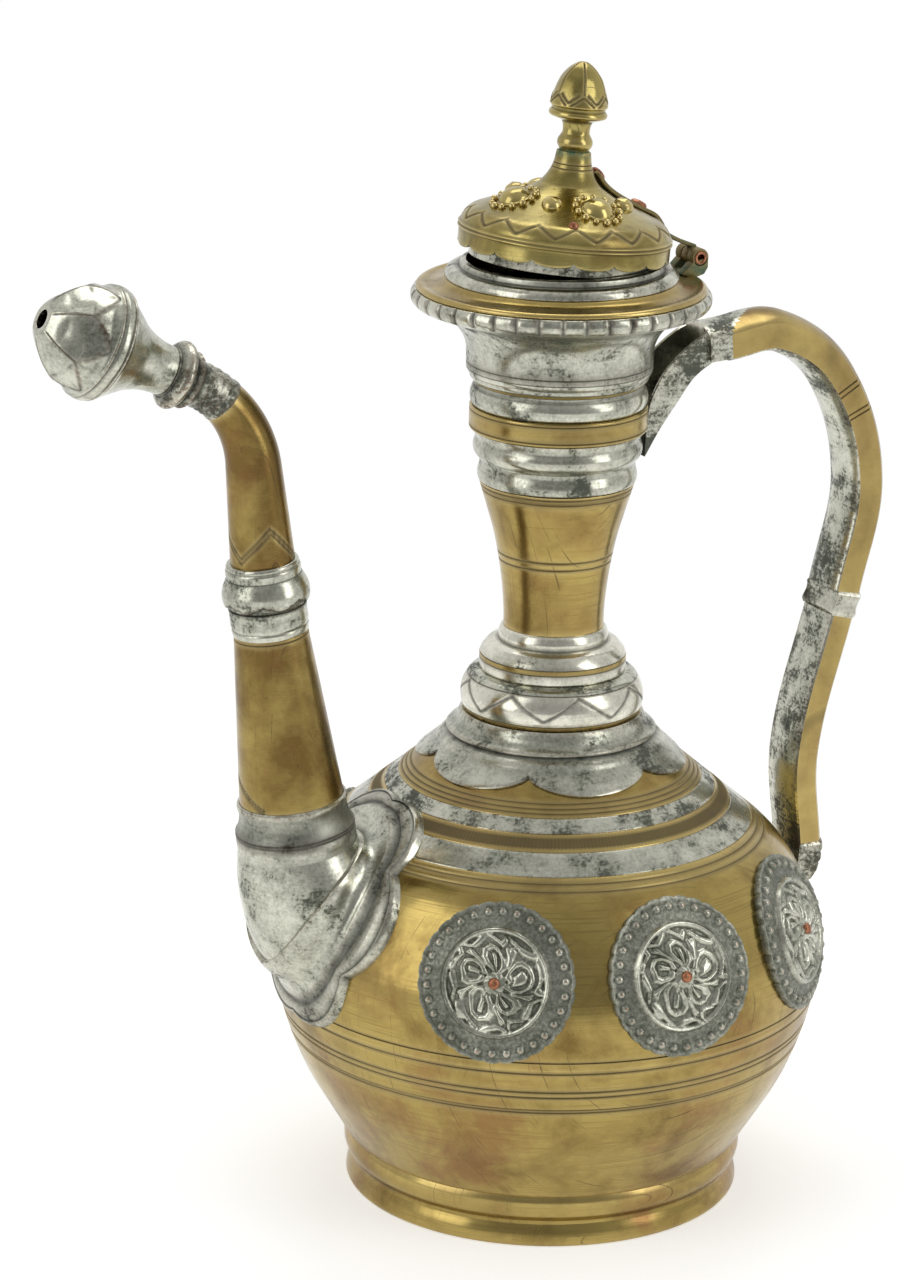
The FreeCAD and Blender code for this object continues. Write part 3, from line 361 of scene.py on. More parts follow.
def tinnedCopper(name, patina=0.5, bare=0.2, ground=0.0, tones=("bright", "clouded")):
    # Copper wiped with tin: bright where it is rubbed, clouded and blotched black in between,
    # and worn back to the copper along its edges
    look = tinLook
    across = perMm(look["reachMm"])
    rows = [
        ("blotch", "TexNoise", {"Scale": perMm(look["blotchMm"]), "Detail": 9, "Roughness": 0.68, "Distortion": 0.15},
         "place"),
        ("speck", "TexNoise", {"Scale": perMm(look["speckMm"]), "Detail": 4, "Roughness": 0.75}, "place"),
        ("brush", "Mapping", {"Scale": (across, across, perMm(look["streakMm"]))}, "place"),
        ("streak", "TexNoise", {"Scale": 1.0, "Detail": 4, "Roughness": 0.6}, "brush"),
        ("grime", "Attribute", {"attribute_name": "grime"}, ""),
        ("wear", "Attribute", {"attribute_name": "wear"}, ""),
        # Patina lies in grainy blotches drawn out along the wiping: three noises are added before they are cut
        ("mixed", "Math", {"operation": "MULTIPLY_ADD", 1: 0.5}, {0: "speck", 2: "blotch"}),
        ("mixed", "Math", {"operation": "MULTIPLY_ADD", 1: 0.18}, {0: "streak", 2: "mixed"}),
        ("cloud", "MapRange", {"From Min": 0.72, "From Max": 0.98}, "mixed"),
        ("colour", "Mix", {"data_type": "RGBA", 6: look[tones[0]], 7: look[tones[1]]}, "cloud"),
        ("black", "MapRange", {"From Min": 1.03 - 0.26 * patina, "From Max": 1.13 - 0.26 * patina, "To Max": 0.85},
         "mixed")]
    if ground:
        # Chased work: the sunk ground keeps its patina and the raised lines are rubbed bright
        rows += [
            ("relief", "Attribute", {"attribute_name": "relief"}, ""),
            ("sunk", "MapRange", {"From Min": 0.75, "From Max": 0.2, "To Max": ground}, "relief"),
            ("grain", "MapRange", {"From Min": 0.3, "From Max": 0.62, "To Min": 0.55}, "speck"),
            ("sunk", "Math", {"operation": "MULTIPLY"}, "sunk grain"),
            ("bright", "Math", {"operation": "SUBTRACT", 0: 1.0}, {1: "relief"}),
            ("black", "Math", {"operation": "MULTIPLY"}, "black bright"),
            ("black", "Math", {"operation": "MAXIMUM"}, "black sunk")]
    rows += [
        ("colour", "Mix", {"data_type": "RGBA", 7: look["dark"]}, "black colour"),
        ("ragged", "MapRange", {"From Min": 0.4, "From Max": 0.62, "To Max": bare}, "speck"),
        ("edges", "MapRange", {"From Min": 0.3, "From Max": 0.9}, "wear"),
        ("shown", "Math", {"operation": "MULTIPLY"}, "edges ragged"),
        ("colour", "Mix", {"data_type": "RGBA", 7: look["copper"]}, "shown colour"),
        # The grime layer darkens hollows and cuts, partly as dirt and partly as painted shade
        ("colour", "Mix", {"data_type": "RGBA", 7: look["grime"]}, "grime colour"),
        ("soil", "Math", {"operation": "MAXIMUM"}, "black grime"),
        ("haze", "MapRange", {"From Min": 0.3, "From Max": 0.7, "To Min": look["smooth"], "To Max": look["rough"]},
         "blotch"),
        ("rough", "Mix", {3: 0.62}, {0: "soil", 2: "haze"}),
        ("shine", "MapRange", {"To Min": 1.0, "To Max": 0.55}, "soil"),
        ("dents", "TexNoise", {"Scale": perMm(look["dentMm"]), "Detail": 2}, "place"),
        ("hammered", "Bump", {"Strength": 0.5, "Distance": 0.4 * mm}, {"Height": "dents"}),
        ("bumps", "Bump", {"Strength": 0.3, "Distance": 0.08 * mm}, {"Height": "mixed", "Normal": "hammered"})]
    return makeFinish(name, rows)


# The grime colour is laid in hollows, partly as dirt and partly as painted shade
copperLook = {
    "clean": "#B07A5C", "tarnished": "#744634", "grime": "#2A1A12", "blotchMm": 3.0, "smooth": 0.26, "rough": 0.54}


def bareCopper(name):
    # Hammered copper of the rivets and the hinge tube, brown where hands don't reach
    look = copperLook
    return makeFinish(name, [
        ("blotch", "TexNoise", {"Scale": perMm(look["blotchMm"]), "Detail": 5}, "place"),
        ("grime", "Attribute", {"attribute_name": "grime"}, ""),
        ("brown", "MapRange", {"From Min": 0.4, "From Max": 0.66}, "blotch"),
        ("colour", "Mix", {"data_type": "RGBA", 6: look["clean"], 7: look["tarnished"]}, "brown"),
        # The grime layer darkens hollows, partly as dirt and partly as painted shade
        ("colour", "Mix", {"data_type": "RGBA", 7: look["grime"]}, "grime colour"),
        ("rough", "MapRange", {"To Min": look["smooth"], "To Max": look["rough"]}, "blotch"),
        ("bumps", "Bump", {"Strength": 0.3, "Distance": 0.15 * mm}, {"Height": "blotch"})])


bellyBrass = agedBrass("belly brass", dullness=0.5, flush=0.6, flushTop=0.09)
neckBrass = agedBrass("turned brass", dullness=0.55)
spoutBrass = agedBrass("spout sheet brass", dullness=0.8)
barBrass = agedBrass("handle sheet brass", turned=False, dullness=0.74)
lidBrass = agedBrass("chased lid brass", dullness=0.65, tones=("olive", "oliveDull"))
hingeBrass = agedBrass("blackened hinge brass", turned=False, dullness=1.0)
cleanTin = tinnedCopper("wiped tin on copper", patina=0.22, bare=0.15, tones=("white", "pale"))
wornTin = tinnedCopper("worn tin on copper", patina=0.35, bare=0.5)
cloudedTin = tinnedCopper("clouded tin on copper", patina=0.5, bare=0.25)
darkTin = tinnedCopper("blackened tin on copper", patina=0.75, bare=0.35)
chasedTin = tinnedCopper("chased tin on copper", patina=0.5, bare=0.9, ground=0.8)
rivetCopper = bareCopper("bare copper")
print("finishes ready")


# Turned rings, from the foot up. An outline row is (radius, rise above the node's base, corner rounding).

def turnPiece(name, look, finishes, steps=160):
    base = nodeBase(name)
    bm = turnShape(look, steps, 1.2, base)
    low, high = look.get("brassLine", (0, 0))
    for face in bm.faces:
        face.material_index = 1 if low < face.calc_center_median().z - base < high else 0
    finishPiece(name, bm, finishes)


footRing = {
    "outline": [(57.5, 0, 0.2), (61.9, 0, 0.5), (62.7, 1.2, 0.5), (62.1, 4.6, 1.2), (60.9, 7.2, 0.6),
                (61.0, 8.2, 0.25), (64.4, 12.7, 3.6), (62.4, 17, 0.2), (57.5, 17, 0.2)]}
turnPiece("footRing", footRing, [bellyBrass], 192)

bottomPlate = {"outline": [(0.4, 0, 0), (57.5, 0, 0.1), (57.5, 1.6, 0.1), (0.4, 1.6, 0)]}
bm = turnShape(bottomPlate, 96, base=nodeBase("bottomPlate"))
bmesh.ops.holes_fill(bm, edges=[edge for edge in bm.edges if edge.is_boundary], sides=0)
bmesh.ops.recalc_face_normals(bm, faces=bm.faces)
finishPiece("bottomPlate", bm, [cloudedTin])

lowerBowl = {
    "outline": [(62.8, 0, 0), (83.2, 33.7, 17.4), (85.66, 51, 0), (84.06, 51, 0), (81.6, 33.9, 17.0), (61.2, 0, 0)],
    "lines": [(35.7, 0.7, 0.3), (36.9, 0.7, 0.3), (41.3, 0.8, 0.35), (43.2, 0.8, 0.35), (49.7, 0.7, 0.3)]}
turnPiece("lowerBowl", lowerBowl, [bellyBrass], 192)

shoulderShell = {
    "outline": [(85.66, 0, 0), (86.5, 6, 5.9), (86.5, 35.05, 23.0), (63.76, 54, 0.2), (62.74, 52.77, 0.2),
                (84.9, 34.3, 22.2), (84.9, 6, 5.9), (84.06, 0, 0)],
    "lines": [(2.4, 0.7, 0.3), (50.6, 0.6, 0.25), (52.4, 0.6, 0.25)]}
turnPiece("shoulderShell", shoulderShell, [bellyBrass], 192)

# The bands on the cone above the belly: each is a strip of the cone with a wall of its own
shoulderCone = {"radius": 68.8, "height": 117.8, "fall": 1.2002, "wall": 1.6, "normal": (0.640, 0.768)}


def coneRadius(z):
    return shoulderCone["radius"] - shoulderCone["fall"] * (z - shoulderCone["height"])


def coneStrip(low, high, marks=()):
    inward, sink = [shoulderCone["wall"] * part for part in shoulderCone["normal"]]
    bm = drawOutline([(coneRadius(low), low, 0.25), (coneRadius(high), high, 0.25),
                      (coneRadius(high) - inward, high - sink, 0), (coneRadius(low) - inward, low - sink, 0)])
    scoreLines(bm, marks)
    splitLong(bm, 0.8)
    return bm


for name, node, low, high, finish in (("lowerTinBand", "shoulder_band_lower", 122.0, 127.6, cloudedTin),
                                      ("upperTinBand", "shoulder_band_upper", 131.8, 135.4, darkTin)):
    bm = coneStrip(low, high)
    spinRound(bm, 160)
    finishPiece(name, bm, [finish], nodes=[node])

milledBand = {"low": 127.6, "high": 131.8, "ticks": 300, "depth": 0.2, "margin": 1.1, "grime": 0.12}
look = milledBand
margins = (look["low"] + look["margin"], look["high"] - look["margin"])
bm = coneStrip(look["low"], look["high"])
for margin in margins:
    bmesh.ops.bisect_plane(bm, geom=bm.verts[:] + bm.edges[:], dist=1e-5, plane_co=(0, 0, margin), plane_no=(0, 0, 1))
spinRound(bm, 2 * look["ticks"])
grime = bm.verts.layers.float["grime"]
for vert in bm.verts:
    # Every second column of points is struck in, between the plain margins, and darkened a little, partly as grime and
    # partly as painted shade
    column = round(atan2(vert.co.y, vert.co.x) / pi * look["ticks"])
    inside = margins[0] - 0.05 < vert.co.z < margins[1] + 0.05
    if column % 2 and inside and fromAxis(vert.co) > coneRadius(vert.co.z) - 0.1:
        out = Vector((vert.co.x, vert.co.y, 0)).normalized() * shoulderCone["normal"][0]
        vert.co -= (out + Vector((0, 0, shoulderCone["normal"][1]))) * look["depth"]
        vert[grime] = look["grime"]
finishPiece("milledBand", bm, [neckBrass], crease=60)

# The ring goes on under the collar, so that it shows between the petals
shoulderRing = {"low": 135.4, "high": 145.4, "lines": [(136.3, 0.5, 0.25), (137.4, 0.5, 0.25), (138.6, 0.5, 0.25)]}
bm = coneStrip(shoulderRing["low"], shoulderRing["high"], shoulderRing["lines"])
spinRound(bm, 160)
finishPiece("shoulderRing", bm, [neckBrass])

# The collar at the foot of the neck: six petals that lie on the cone, then a groove, a round lip and a slope
shoulderCollar = {
    "petals": 6, "cusp": -10, "tip": 42.4, "cuspAt": 37.2, "top": 35.6, "thick": 0.9, "steps": 288,
    "rows": [(35.0, 1.05), (34.3, 1.3), (33.6, 1.4), (32.9, 1.2)],
    "rise": [(32.6, 149.2), (32.3, 149.5), (32.4, 149.8), (32.8, 150.1), (32.9, 150.6), (32.6, 151.0), (32.0, 151.4),
             (31.3, 151.8), (30.6, 152.4), (30.0, 153.2), (29.5, 154.1), (29.1, 155.0), (28.8, 155.8), (28.2, 156.4),
             (25.3, 156.4), (25.3, 150.4), (28.4, 147.0), (34.0, 145.6)]}
look = shoulderCollar


def onCone(out, height):
    cone = shoulderCone
    return (out + height * cone["normal"][0],
            cone["height"] + (cone["radius"] - out) / cone["fall"] + height * cone["normal"][1])


columns = []
for turn in turnsRound(look["steps"]):
    # Each petal is a shallow arc between two cusps
    share = ((degrees(turn) - look["cusp"]) / 360 * look["petals"]) % 1.0
    reach = look["cuspAt"] + (look["tip"] - look["cuspAt"]) * max(0.0, 1 - (2 * share - 1) ** 2) ** 0.75
    line = [onCone(look["top"], -0.5), onCone(reach - 0.6, -0.4)]
    line += [onCone(reach, 0.1), onCone(reach - 0.1, 0.7), onCone(reach - 0.7, look["thick"])]
    line += [onCone(reach + (look["top"] - reach) * part, look["thick"]) for part in (0.25, 0.5, 0.75, 1.0)]
    line += [onCone(*row) for row in look["rows"]] + look["rise"]
    side = turn - radians(photoTurn)
    columns.append([Vector((sin(side) * out, -cos(side) * out, z)) for out, z in line])
finishPiece("shoulderCollar", sweep([list(ring) for ring in zip(*columns)], "bridge"), [cloudedTin])

zigzagCollar = {
    "outline": [(21.8, 0, 0), (27.4, 0, 0.3), (30.0, 5.4, 5), (25.9, 12, 1), (22.8, 13, 0.3), (21.8, 13, 0)],
    "lines": [(1.5, 0.5, 0.25), (11.0, 0.5, 0.3)], "chased": (2.4, 11), "inside": 24, "girth": 28, "teeth": 8,
    "firstApex": -10, "low": 3.2, "high": 10.4, "cut": 0.3, "width": 0.45, "brassTop": 1.5, "darkFrom": 11.1}
look = zigzagCollar
base = nodeBase("zigzagCollar")
bm = turnShape(look, 384, 0.5, base)


def zigzagCut(point):
    rise = point.z - base
    if not look["chased"][0] < rise < look["chased"][1] or fromAxis(point) < look["inside"]:
        return 0
    turn = degrees(atan2(point.x, -point.y)) - look["firstApex"] - 180 / look["teeth"]
    tooth = 2 * pi * look["girth"] / look["teeth"]
    gap = zigzagGap(radians(turn) * look["girth"], rise, tooth, look["high"], look["low"])
    return groove(gap, look["width"], look["cut"])


engrave(bm, zigzagCut, 0.75)
for face in bm.faces:
    rise = face.calc_center_median().z - base
    face.material_index = 1 if rise < look["brassTop"] else 2 if rise > look["darkFrom"] else 0
finishPiece("zigzagCollar", bm, [cleanTin, neckBrass, darkTin])

neckStepRing = {
    "outline": [(14.2, 0, 0), (22.9, 0, 0.6), (22.9, 5.6, 1.2), (20.5, 8.6, 0.4), (18.4, 9.4, 0.3), (17.0, 9.6, 0.2),
                (17.2, 11.5, 0.5), (16.4, 13.6, 0.5), (15.9, 14.0, 0), (14.2, 14.0, 0)],
    "lines": [(3.4, 0.4, 0.2), (5.0, 0.4, 0.2)], "brassLine": (3.4, 5.0)}
turnPiece("neckStepRing", neckStepRing, [cleanTin, neckBrass])

neckTube = {
    "outline": [(15.6, 0, 0), (15.6, 17.7, 16), (24.1, 46.5, 0.2), (22.5, 46.5, 0), (14.0, 17.9, 16), (14.0, 0, 0)],
    "lines": [(21.6, 0.6, 0.25), (24.0, 0.6, 0.25), (43.8, 0.6, 0.25), (45.4, 0.6, 0.25)]}
turnPiece("neckTube", neckTube, [neckBrass])

neckRingLower = {
    "outline": [(22.4, 0, 0), (24.3, 0.2, 0.4), (24.9, 2.2, 1.2), (23.9, 5.8, 1.0), (24.2, 7.0, 0.5),
                (27.0, 10.3, 2.6), (25.3, 13.6, 0.7), (26.4, 16.3, 0.4), (22.4, 16.5, 0)]}
turnPiece("neckRingLower", neckRingLower, [cloudedTin])

neckBrassBand = {
    "outline": [(22.4, 0, 0), (27.0, 0, 0.2), (27.5, 0.4, 0.2), (27.5, 7.1, 0.2), (27.0, 7.5, 0.2), (22.4, 7.5, 0)],
    "lines": [(1.1, 0.5, 0.25), (6.3, 0.5, 0.25)]}
turnPiece("neckBrassBand", neckBrassBand, [neckBrass])

neckRingUpper = {
    "outline": [(22.4, 0, 0), (26.6, 0, 0.3), (27.9, 2.6, 2.0), (26.9, 5.4, 0.8), (26.0, 6.6, 0.8), (26.8, 8.0, 0.5),
                (27.6, 8.9, 0.4), (27.7, 10, 0.2), (22.4, 10, 0)], "lines": [(7.4, 0.4, 0.15), (8.3, 0.4, 0.15)],
    "brassLine": (7.4, 8.3)}
turnPiece("neckRingUpper", neckRingUpper, [cloudedTin, neckBrass])

mouthCup = {
    "outline": [(22.4, 0, 0), (27.9, 0, 0.3), (28.7, 1.4, 0.5), (28.9, 15.5, 8.5), (44.7, 21.1, 0.3),
                (46.9, 23.3, 2.2), (45.2, 26.1, 0.5), (42.0, 26.1, 0), (42.0, 22.3, 0.3), (29.2, 17.8, 8.0),
                (26.8, 7.5, 3.0), (22.4, 1.6, 0)], "lines": [(1.9, 0.5, 0.25), (3.6, 0.5, 0.2)], "notches": 40,
    "notchHalf": 0.13, "notchDepth": 0.6, "rim": 44.0, "rimFade": 1.6}
look = mouthCup
bm = turnShape(look, 12 * look["notches"], 1.6, nodeBase("mouthCup"))
grime = bm.verts.layers.float["grime"]
for vert in bm.verts:
    # Narrow V notches make the rim a row of gadroons; each notch is darkened, partly as grime and partly as painted
    # shade
    radius = fromAxis(vert.co)
    phase = (atan2(vert.co.y, vert.co.x) / (2 * pi) * look["notches"]) % 1.0
    share = max(0.0, 1 - min(phase, 1 - phase) / look["notchHalf"])
    share *= min(1.0, max(0.0, (radius - look["rim"]) / look["rimFade"]))
    vert.co.xy *= 1 - share * look["notchDepth"] / radius
    vert[grime] = max(vert[grime], 0.7 * share ** 2)
finishPiece("mouthCup", bm, [cloudedTin])

flangeRing = {
    "outline": [(39.0, 0, 0), (44.4, 0, 0.3), (44.6, 1.0, 0.5), (43.2, 1.9, 0.8), (41.0, 1.2, 0.9), (37.4, 2.2, 1.0),
                (35.9, 3.6, 0.3), (34.3, 3.6, 0), (34.3, 2.0, 0)]}
turnPiece("flangeRing", flangeRing, [neckBrass], 192)

mouthCollar = {
    "outline": [(35.9, 0, 0.3), (35.6, 2.2, 1.2), (33.4, 3.2, 0.5), (31.4, 3.2, 0.4), (31.0, 5.0, 0.5),
                (29.3, 5.4, 0.2), (29.3, 1.4, 0), (34.3, 0, 0)]}
turnPiece("mouthCollar", mouthCollar, [cloudedTin], 192)
print("turned rings ready")


# Spout. Its pieces are turned upright and then leaned out over the belly: out is the distance from the pot's axis.

spoutLine = {
    "bootTop": (89.1, 137.3), "bootHub": (39.65, 129.86), "bootBend": 48.0, "lean": 7.7,
    "knuckleFoot": (96.60, 192.79), "upperFoot": (98.61, 207.66), "upperLean": 6.1, "upperLength": 37.0,
    "bendHub": (136.35, 240.84), "bend": 34.0, "ferruleLean": 46.0, "nozzleLean": 64.0}


def spoutSeat(place, lean):
    return Matrix.Translation((-place[0], 0, place[1])) @ Matrix.Rotation(radians(-lean), 4, "Y")


def leanOut(bm, place, lean):
    bmesh.ops.transform(bm, matrix=spoutSeat(place, lean), verts=bm.verts)


def hoop(place, lean, radius, steps=96):
    # One ring across the spout; its first point is on the side of the pot
    seat = spoutSeat(place, lean)
    return [seat @ Vector((radius * cos(turn), radius * sin(turn), 0)) for turn in turnsRound(steps)]


def upFrom(place, lean, far):
    return place[0] + far * sin(radians(lean)), place[1] + far * cos(radians(lean))


def frontTurn(point):
    # Degrees round an upright piece, from the side that the photo shows
    return degrees(atan2(point.x, -point.y)) + photoTurn


lowerTube = {
    "outline": [(16.2, 0, 0.2), (11.3, 56, 0.2), (9.8, 56, 0), (14.7, 0, 0)],
    "lines": [(1.3, 0.5, 0.25), (54.6, 0.5, 0.25)], "scratch": (-110, -26, 15, 1), "inside": 14.8}
look = lowerTube
bm = turnShape(look, 240, 0.6)


def tubeScratch(point):
    # A pair of slanting graver lines above the boot
    turn = frontTurn(point)
    start, end, high, low = look["scratch"]
    if not start < turn < end or fromAxis(point) < look["inside"]:
        return 0
    level = high + (low - high) * (turn - start) / (end - start)
    return sum(groove((point.z - level - shift) * 0.8, 0.5, 0.22) for shift in (0, 1.3))


engrave(bm, tubeScratch, 0.8)
leanOut(bm, spoutLine["bootTop"], spoutLine["lean"])
finishPiece("spoutLowerTube", bm, [spoutBrass])

spoutKnuckle = {
    "outline": [(9.8, -0.4, 0), (11.5, -0.4, 0.3), (11.8, 1.4, 0.3), (11.5, 1.9, 0.15), (11.9, 2.6, 0.6),
                (11.8, 7.2, 1.5), (12.0, 8.3, 0.4), (13.0, 9.6, 0.5), (13.7, 12.6, 2.0), (12.3, 16.6, 2.0),
                (11.4, 18.0, 0.4), (11.5, 20.4, 0.4), (11.0, 20.9, 0.2), (11.2, 21.6, 0.3), (10.7, 22.4, 0.3),
                (9.0, 22.4, 0)], "waves": 7, "waveFoot": 8.4, "waveLow": 9.0, "waveHigh": 11.4, "waveSink": 0.5 / 13,
    "inside": 11.6}
look = spoutKnuckle
bm = turnShape(look, 168, 0.6)
wear = bm.verts.layers.float["wear"]
for vert in bm.verts:
    # A hand-cut wavy edge under the bulge, rubbed back to the copper
    wave = abs((frontTurn(vert.co) / 360 * look["waves"]) % 1.0 - 0.5) * 2
    edge = look["waveLow"] + (look["waveHigh"] - look["waveLow"]) * wave
    if look["waveFoot"] < vert.co.z < edge and fromAxis(vert.co) > look["inside"]:
        vert.co.xy *= 1 - look["waveSink"]
    if abs(vert.co.z - edge) < 0.7 and fromAxis(vert.co) > look["inside"]:
        vert[wear] = 1.0
leanOut(bm, spoutLine["knuckleFoot"], spoutLine["lean"])
finishPiece("spoutKnuckle", bm, [cloudedTin])

upperTube = {
    "foot": 10.2, "bend": 8.4, "end": 6.9, "wall": 1.5, "teeth": 3, "apex": 24, "low": 8.5, "high": 18.5, "girth": 10,
    "chasedTop": 232, "steps": 216, "rows": 70, "bendRows": 18}


def bendPlace(lean):
    turn = radians(lean)
    return (spoutLine["bendHub"][0] - spoutLine["bend"] * cos(turn),
            spoutLine["bendHub"][1] + spoutLine["bend"] * sin(turn))


def upperRings(grow):
    rings = []
    look = upperTube
    start, end = spoutLine["upperLean"], spoutLine["ferruleLean"]
    for number in range(look["rows"] + 1):
        share = number / look["rows"]
        place = upFrom(spoutLine["upperFoot"], start, share * spoutLine["upperLength"])
        radius = look["foot"] + share * (look["bend"] - look["foot"]) + grow
        rings.append(hoop(place, start if number else spoutLine["lean"], radius, look["steps"]))
    for number in range(1, look["bendRows"] + 1):
        share = number / look["bendRows"]
        lean = start + share * (end - start)
        radius = look["bend"] + share * (look["end"] - look["bend"]) + grow
        rings.append(hoop(bendPlace(lean), lean, radius, look["steps"]))
    return rings


def chevronCut(point):
    # Double zigzag above the knuckle
    if point.z > upperTube["chasedTop"]:
        return 0
    place = point - Vector((-spoutLine["upperFoot"][0], 0, spoutLine["upperFoot"][1]))
    place.x += place.z * tan(radians(spoutLine["upperLean"]))
    if fromAxis(place) < upperTube["bend"] + 0.5:
        return 0
    tooth = 2 * pi * upperTube["girth"] / upperTube["teeth"]
    along = radians(frontTurn(place) - upperTube["apex"]) * upperTube["girth"] + tooth / 2
    gap = zigzagGap(along, place.z, tooth, upperTube["high"], upperTube["low"])
    return sum(groove(gap - shift, 0.45, 0.25) for shift in (-0.6, 0.6))


bm = sweep(upperRings(0) + upperRings(-upperTube["wall"])[::-1], "bridge")
engrave(bm, chevronCut, 0.8)
finishPiece("spoutUpperTube", bm, [spoutBrass])

# The ferrule is a bent sleeve, bound in coarse rings, then turned rings and a knop on the last of it
spoutFerrule = {
    "sleeve": 6.9, "bore": 5.3, "steps": 12, "lip": 0.3, "binding": 0.25,
    "rings": [(0.4, 7.0), (1.2, 7.3), (1.9, 8.4), (2.7, 8.9), (3.5, 8.5), (4.0, 7.9), (4.5, 8.0), (5.2, 9.3),
              (6.1, 10.3), (7.0, 10.6), (7.9, 10.4), (8.8, 9.6), (9.5, 8.4), (10.0, 7.8), (10.5, 7.7)]}
look = spoutFerrule
nozzleLean = spoutLine["nozzleLean"]
rings = []
bore = []
for number in range(look["steps"] + 1):
    lean = spoutLine["ferruleLean"] + (nozzleLean - spoutLine["ferruleLean"]) * number / look["steps"]
    ridge = look["lip"] if number == 0 else look["binding"] if number % 3 == 1 else 0.0
    rings.append(hoop(bendPlace(lean), lean, look["sleeve"] + ridge))
    bore.append(hoop(bendPlace(lean), lean, look["bore"]))
for far, radius in look["rings"]:
    nozzleFoot = upFrom(bendPlace(nozzleLean), nozzleLean, far)
    rings.append(hoop(nozzleFoot, nozzleLean, radius))
bore.append(hoop(nozzleFoot, nozzleLean, look["bore"]))
finishPiece("spoutFerrule", sweep(rings + bore[::-1], "bridge"), [darkTin])

# The bud is cut in six long facets from the mouth; where two meet, the edge forks to the points on the ring
spoutNozzle = {
    "outline": [(5.1, 0, 0), (7.6, 0, 0.3), (7.9, 8.5, 6.0), (16.2, 20.3, 0.6), (17.0, 20.9, 0.2), (17.4, 21.5, 0.3),
                (17.0, 21.9, 0.15), (17.7, 22.5, 0.4), (17.8, 24.4, 0.4), (17.2, 25.1, 0.15), (17.6, 25.7, 0.3),
                (16.8, 26.5, 0.2), (15.9, 32.0, 4.0), (10.6, 39.6, 4.0), (4.8, 43.3, 0.4), (2.9, 43.3, 0.2),
                (2.9, 41.8, 0), (9.4, 38.2, 3), (14.3, 31.5, 3.5), (15.0, 25.5, 2), (14.2, 21.0, 2), (6.3, 9.5, 4),
                (5.1, 4, 1)], "facets": 6, "firstEdge": -60, "fork": 34.0, "ring": 26.6, "tip": 42.6, "sag": 0.8,
    "cut": 0.32, "width": 0.45, "room": 5.0, "widest": 16.5}
bm = turnShape(spoutNozzle, 240, 0.55)


def facetFlat(bm, look):
    # Cuts long flats from the tip down: the edges between them fork to the points on the ring below
    half = 180 / look["facets"]

    def edgeGap(point):
        radius = fromAxis(point)
        height = (point.z - look["ring"]) / (look["tip"] - look["ring"])
        if not 0 < height < 1 or radius < look["widest"] * (0.9 - 0.85 * height * height):
            return None
        turn = abs((degrees(atan2(point.y, point.x)) - look["firstEdge"] + half) % (2 * half) - half)
        if point.z > look["fork"]:
            return radius * radians(turn)
        fall = (look["fork"] - point.z) / (look["fork"] - look["ring"])
        return radius * radians(abs(turn - fall * half)) * 0.7

    def flat(point):
        gap = edgeGap(point)
        if gap is None:
            return 0
        ends = min(1.0, (point.z - look["ring"]) / 2, (look["tip"] - point.z) / 3)
        return look["sag"] * (1 - max(0.0, 1 - gap / look["room"]) ** 2) * ends

    def line(point):
        gap = edgeGap(point)
        aside = look.get("rib", 0) if point.z < look["fork"] else 0   # two cuts leave a rib between them
        return 0 if gap is None else groove(gap - aside, look["width"], look["cut"])

    engrave(bm, flat, 0)
    engrave(bm, line)


facetFlat(bm, spoutNozzle)
leanOut(bm, nozzleFoot, nozzleLean)
finishPiece("spoutNozzle", bm, [wornTin])

# The boot bends in to the belly and ends on a slanting seam, drawn out to a tongue below
spoutBoot = {
    "collar": [(-1.6, 16.2), (-1.1, 16.9), (0, 17.1), (0.7, 16.8), (2.6, 16.6), (5.0, 17.0), (7.2, 17.9),
               (7.7, 18.4), (8.2, 18.1), (8.6, 18.5), (9.2, 18.2), (9.7, 18.5), (11.8, 18.5), (14.0, 18.5)],
    "swell": 18.5, "end": 28.5, "endLean": 55.0, "seam": (97.65, 86.16), "seamNormal": (0.788, 0.616), "rows": 30,
    "tongue": 10.0, "steps": 144, "inside": 14.8}
bootLean = spoutLine["lean"]


def halve(low, high, isLow):
    for attempt in range(40):
        middle = (low + high) / 2
        low, high = (middle, high) if isLow(middle) else (low, middle)
    return low


def bootPoint(lean, turn, grow=0.0):
    # Turn 0 is on the pot's side and 180 on the outer side of the bend
    look = spoutBoot
    bend = radians(lean)
    radius = look["swell"] + grow + (look["end"] - look["swell"]) * (lean - bootLean) / (look["endLean"] - bootLean)
    far = spoutLine["bootBend"] - radius * cos(turn)
    return Vector((-spoutLine["bootHub"][0] - far * cos(bend), radius * sin(turn),
                   spoutLine["bootHub"][1] - far * sin(bend)))


def seamLean(turn):
    def isAbove(lean):
        place = bootPoint(lean, turn)
        out, up = spoutBoot["seamNormal"]
        return (-place.x - spoutBoot["seam"][0]) * out + (place.z - spoutBoot["seam"][1]) * up > 0

    return halve(bootLean, 70.0, isAbove) - spoutBoot["tongue"] * abs(sin(turn)) ** 1.4


look = spoutBoot
bootTurns = turnsRound(look["steps"])
seamLeans = [seamLean(turn) for turn in bootTurns]
rings = [hoop(spoutLine["bootTop"], bootLean, look["inside"], look["steps"])]
for drop, radius in look["collar"]:
    rings.append(hoop(upFrom(spoutLine["bootTop"], bootLean, -drop), bootLean, radius, look["steps"]))
for row in range(1, look["rows"] + 1):
    share = row / look["rows"]
    rings.append([bootPoint(bootLean + (lean - bootLean) * share, turn) for turn, lean in zip(bootTurns, seamLeans)])
rings.append([bootPoint(lean + 2.5, turn, -1.2) for turn, lean in zip(bootTurns, seamLeans)])
finishPiece("spoutBoot", sweep(rings, "open"), [cloudedTin])

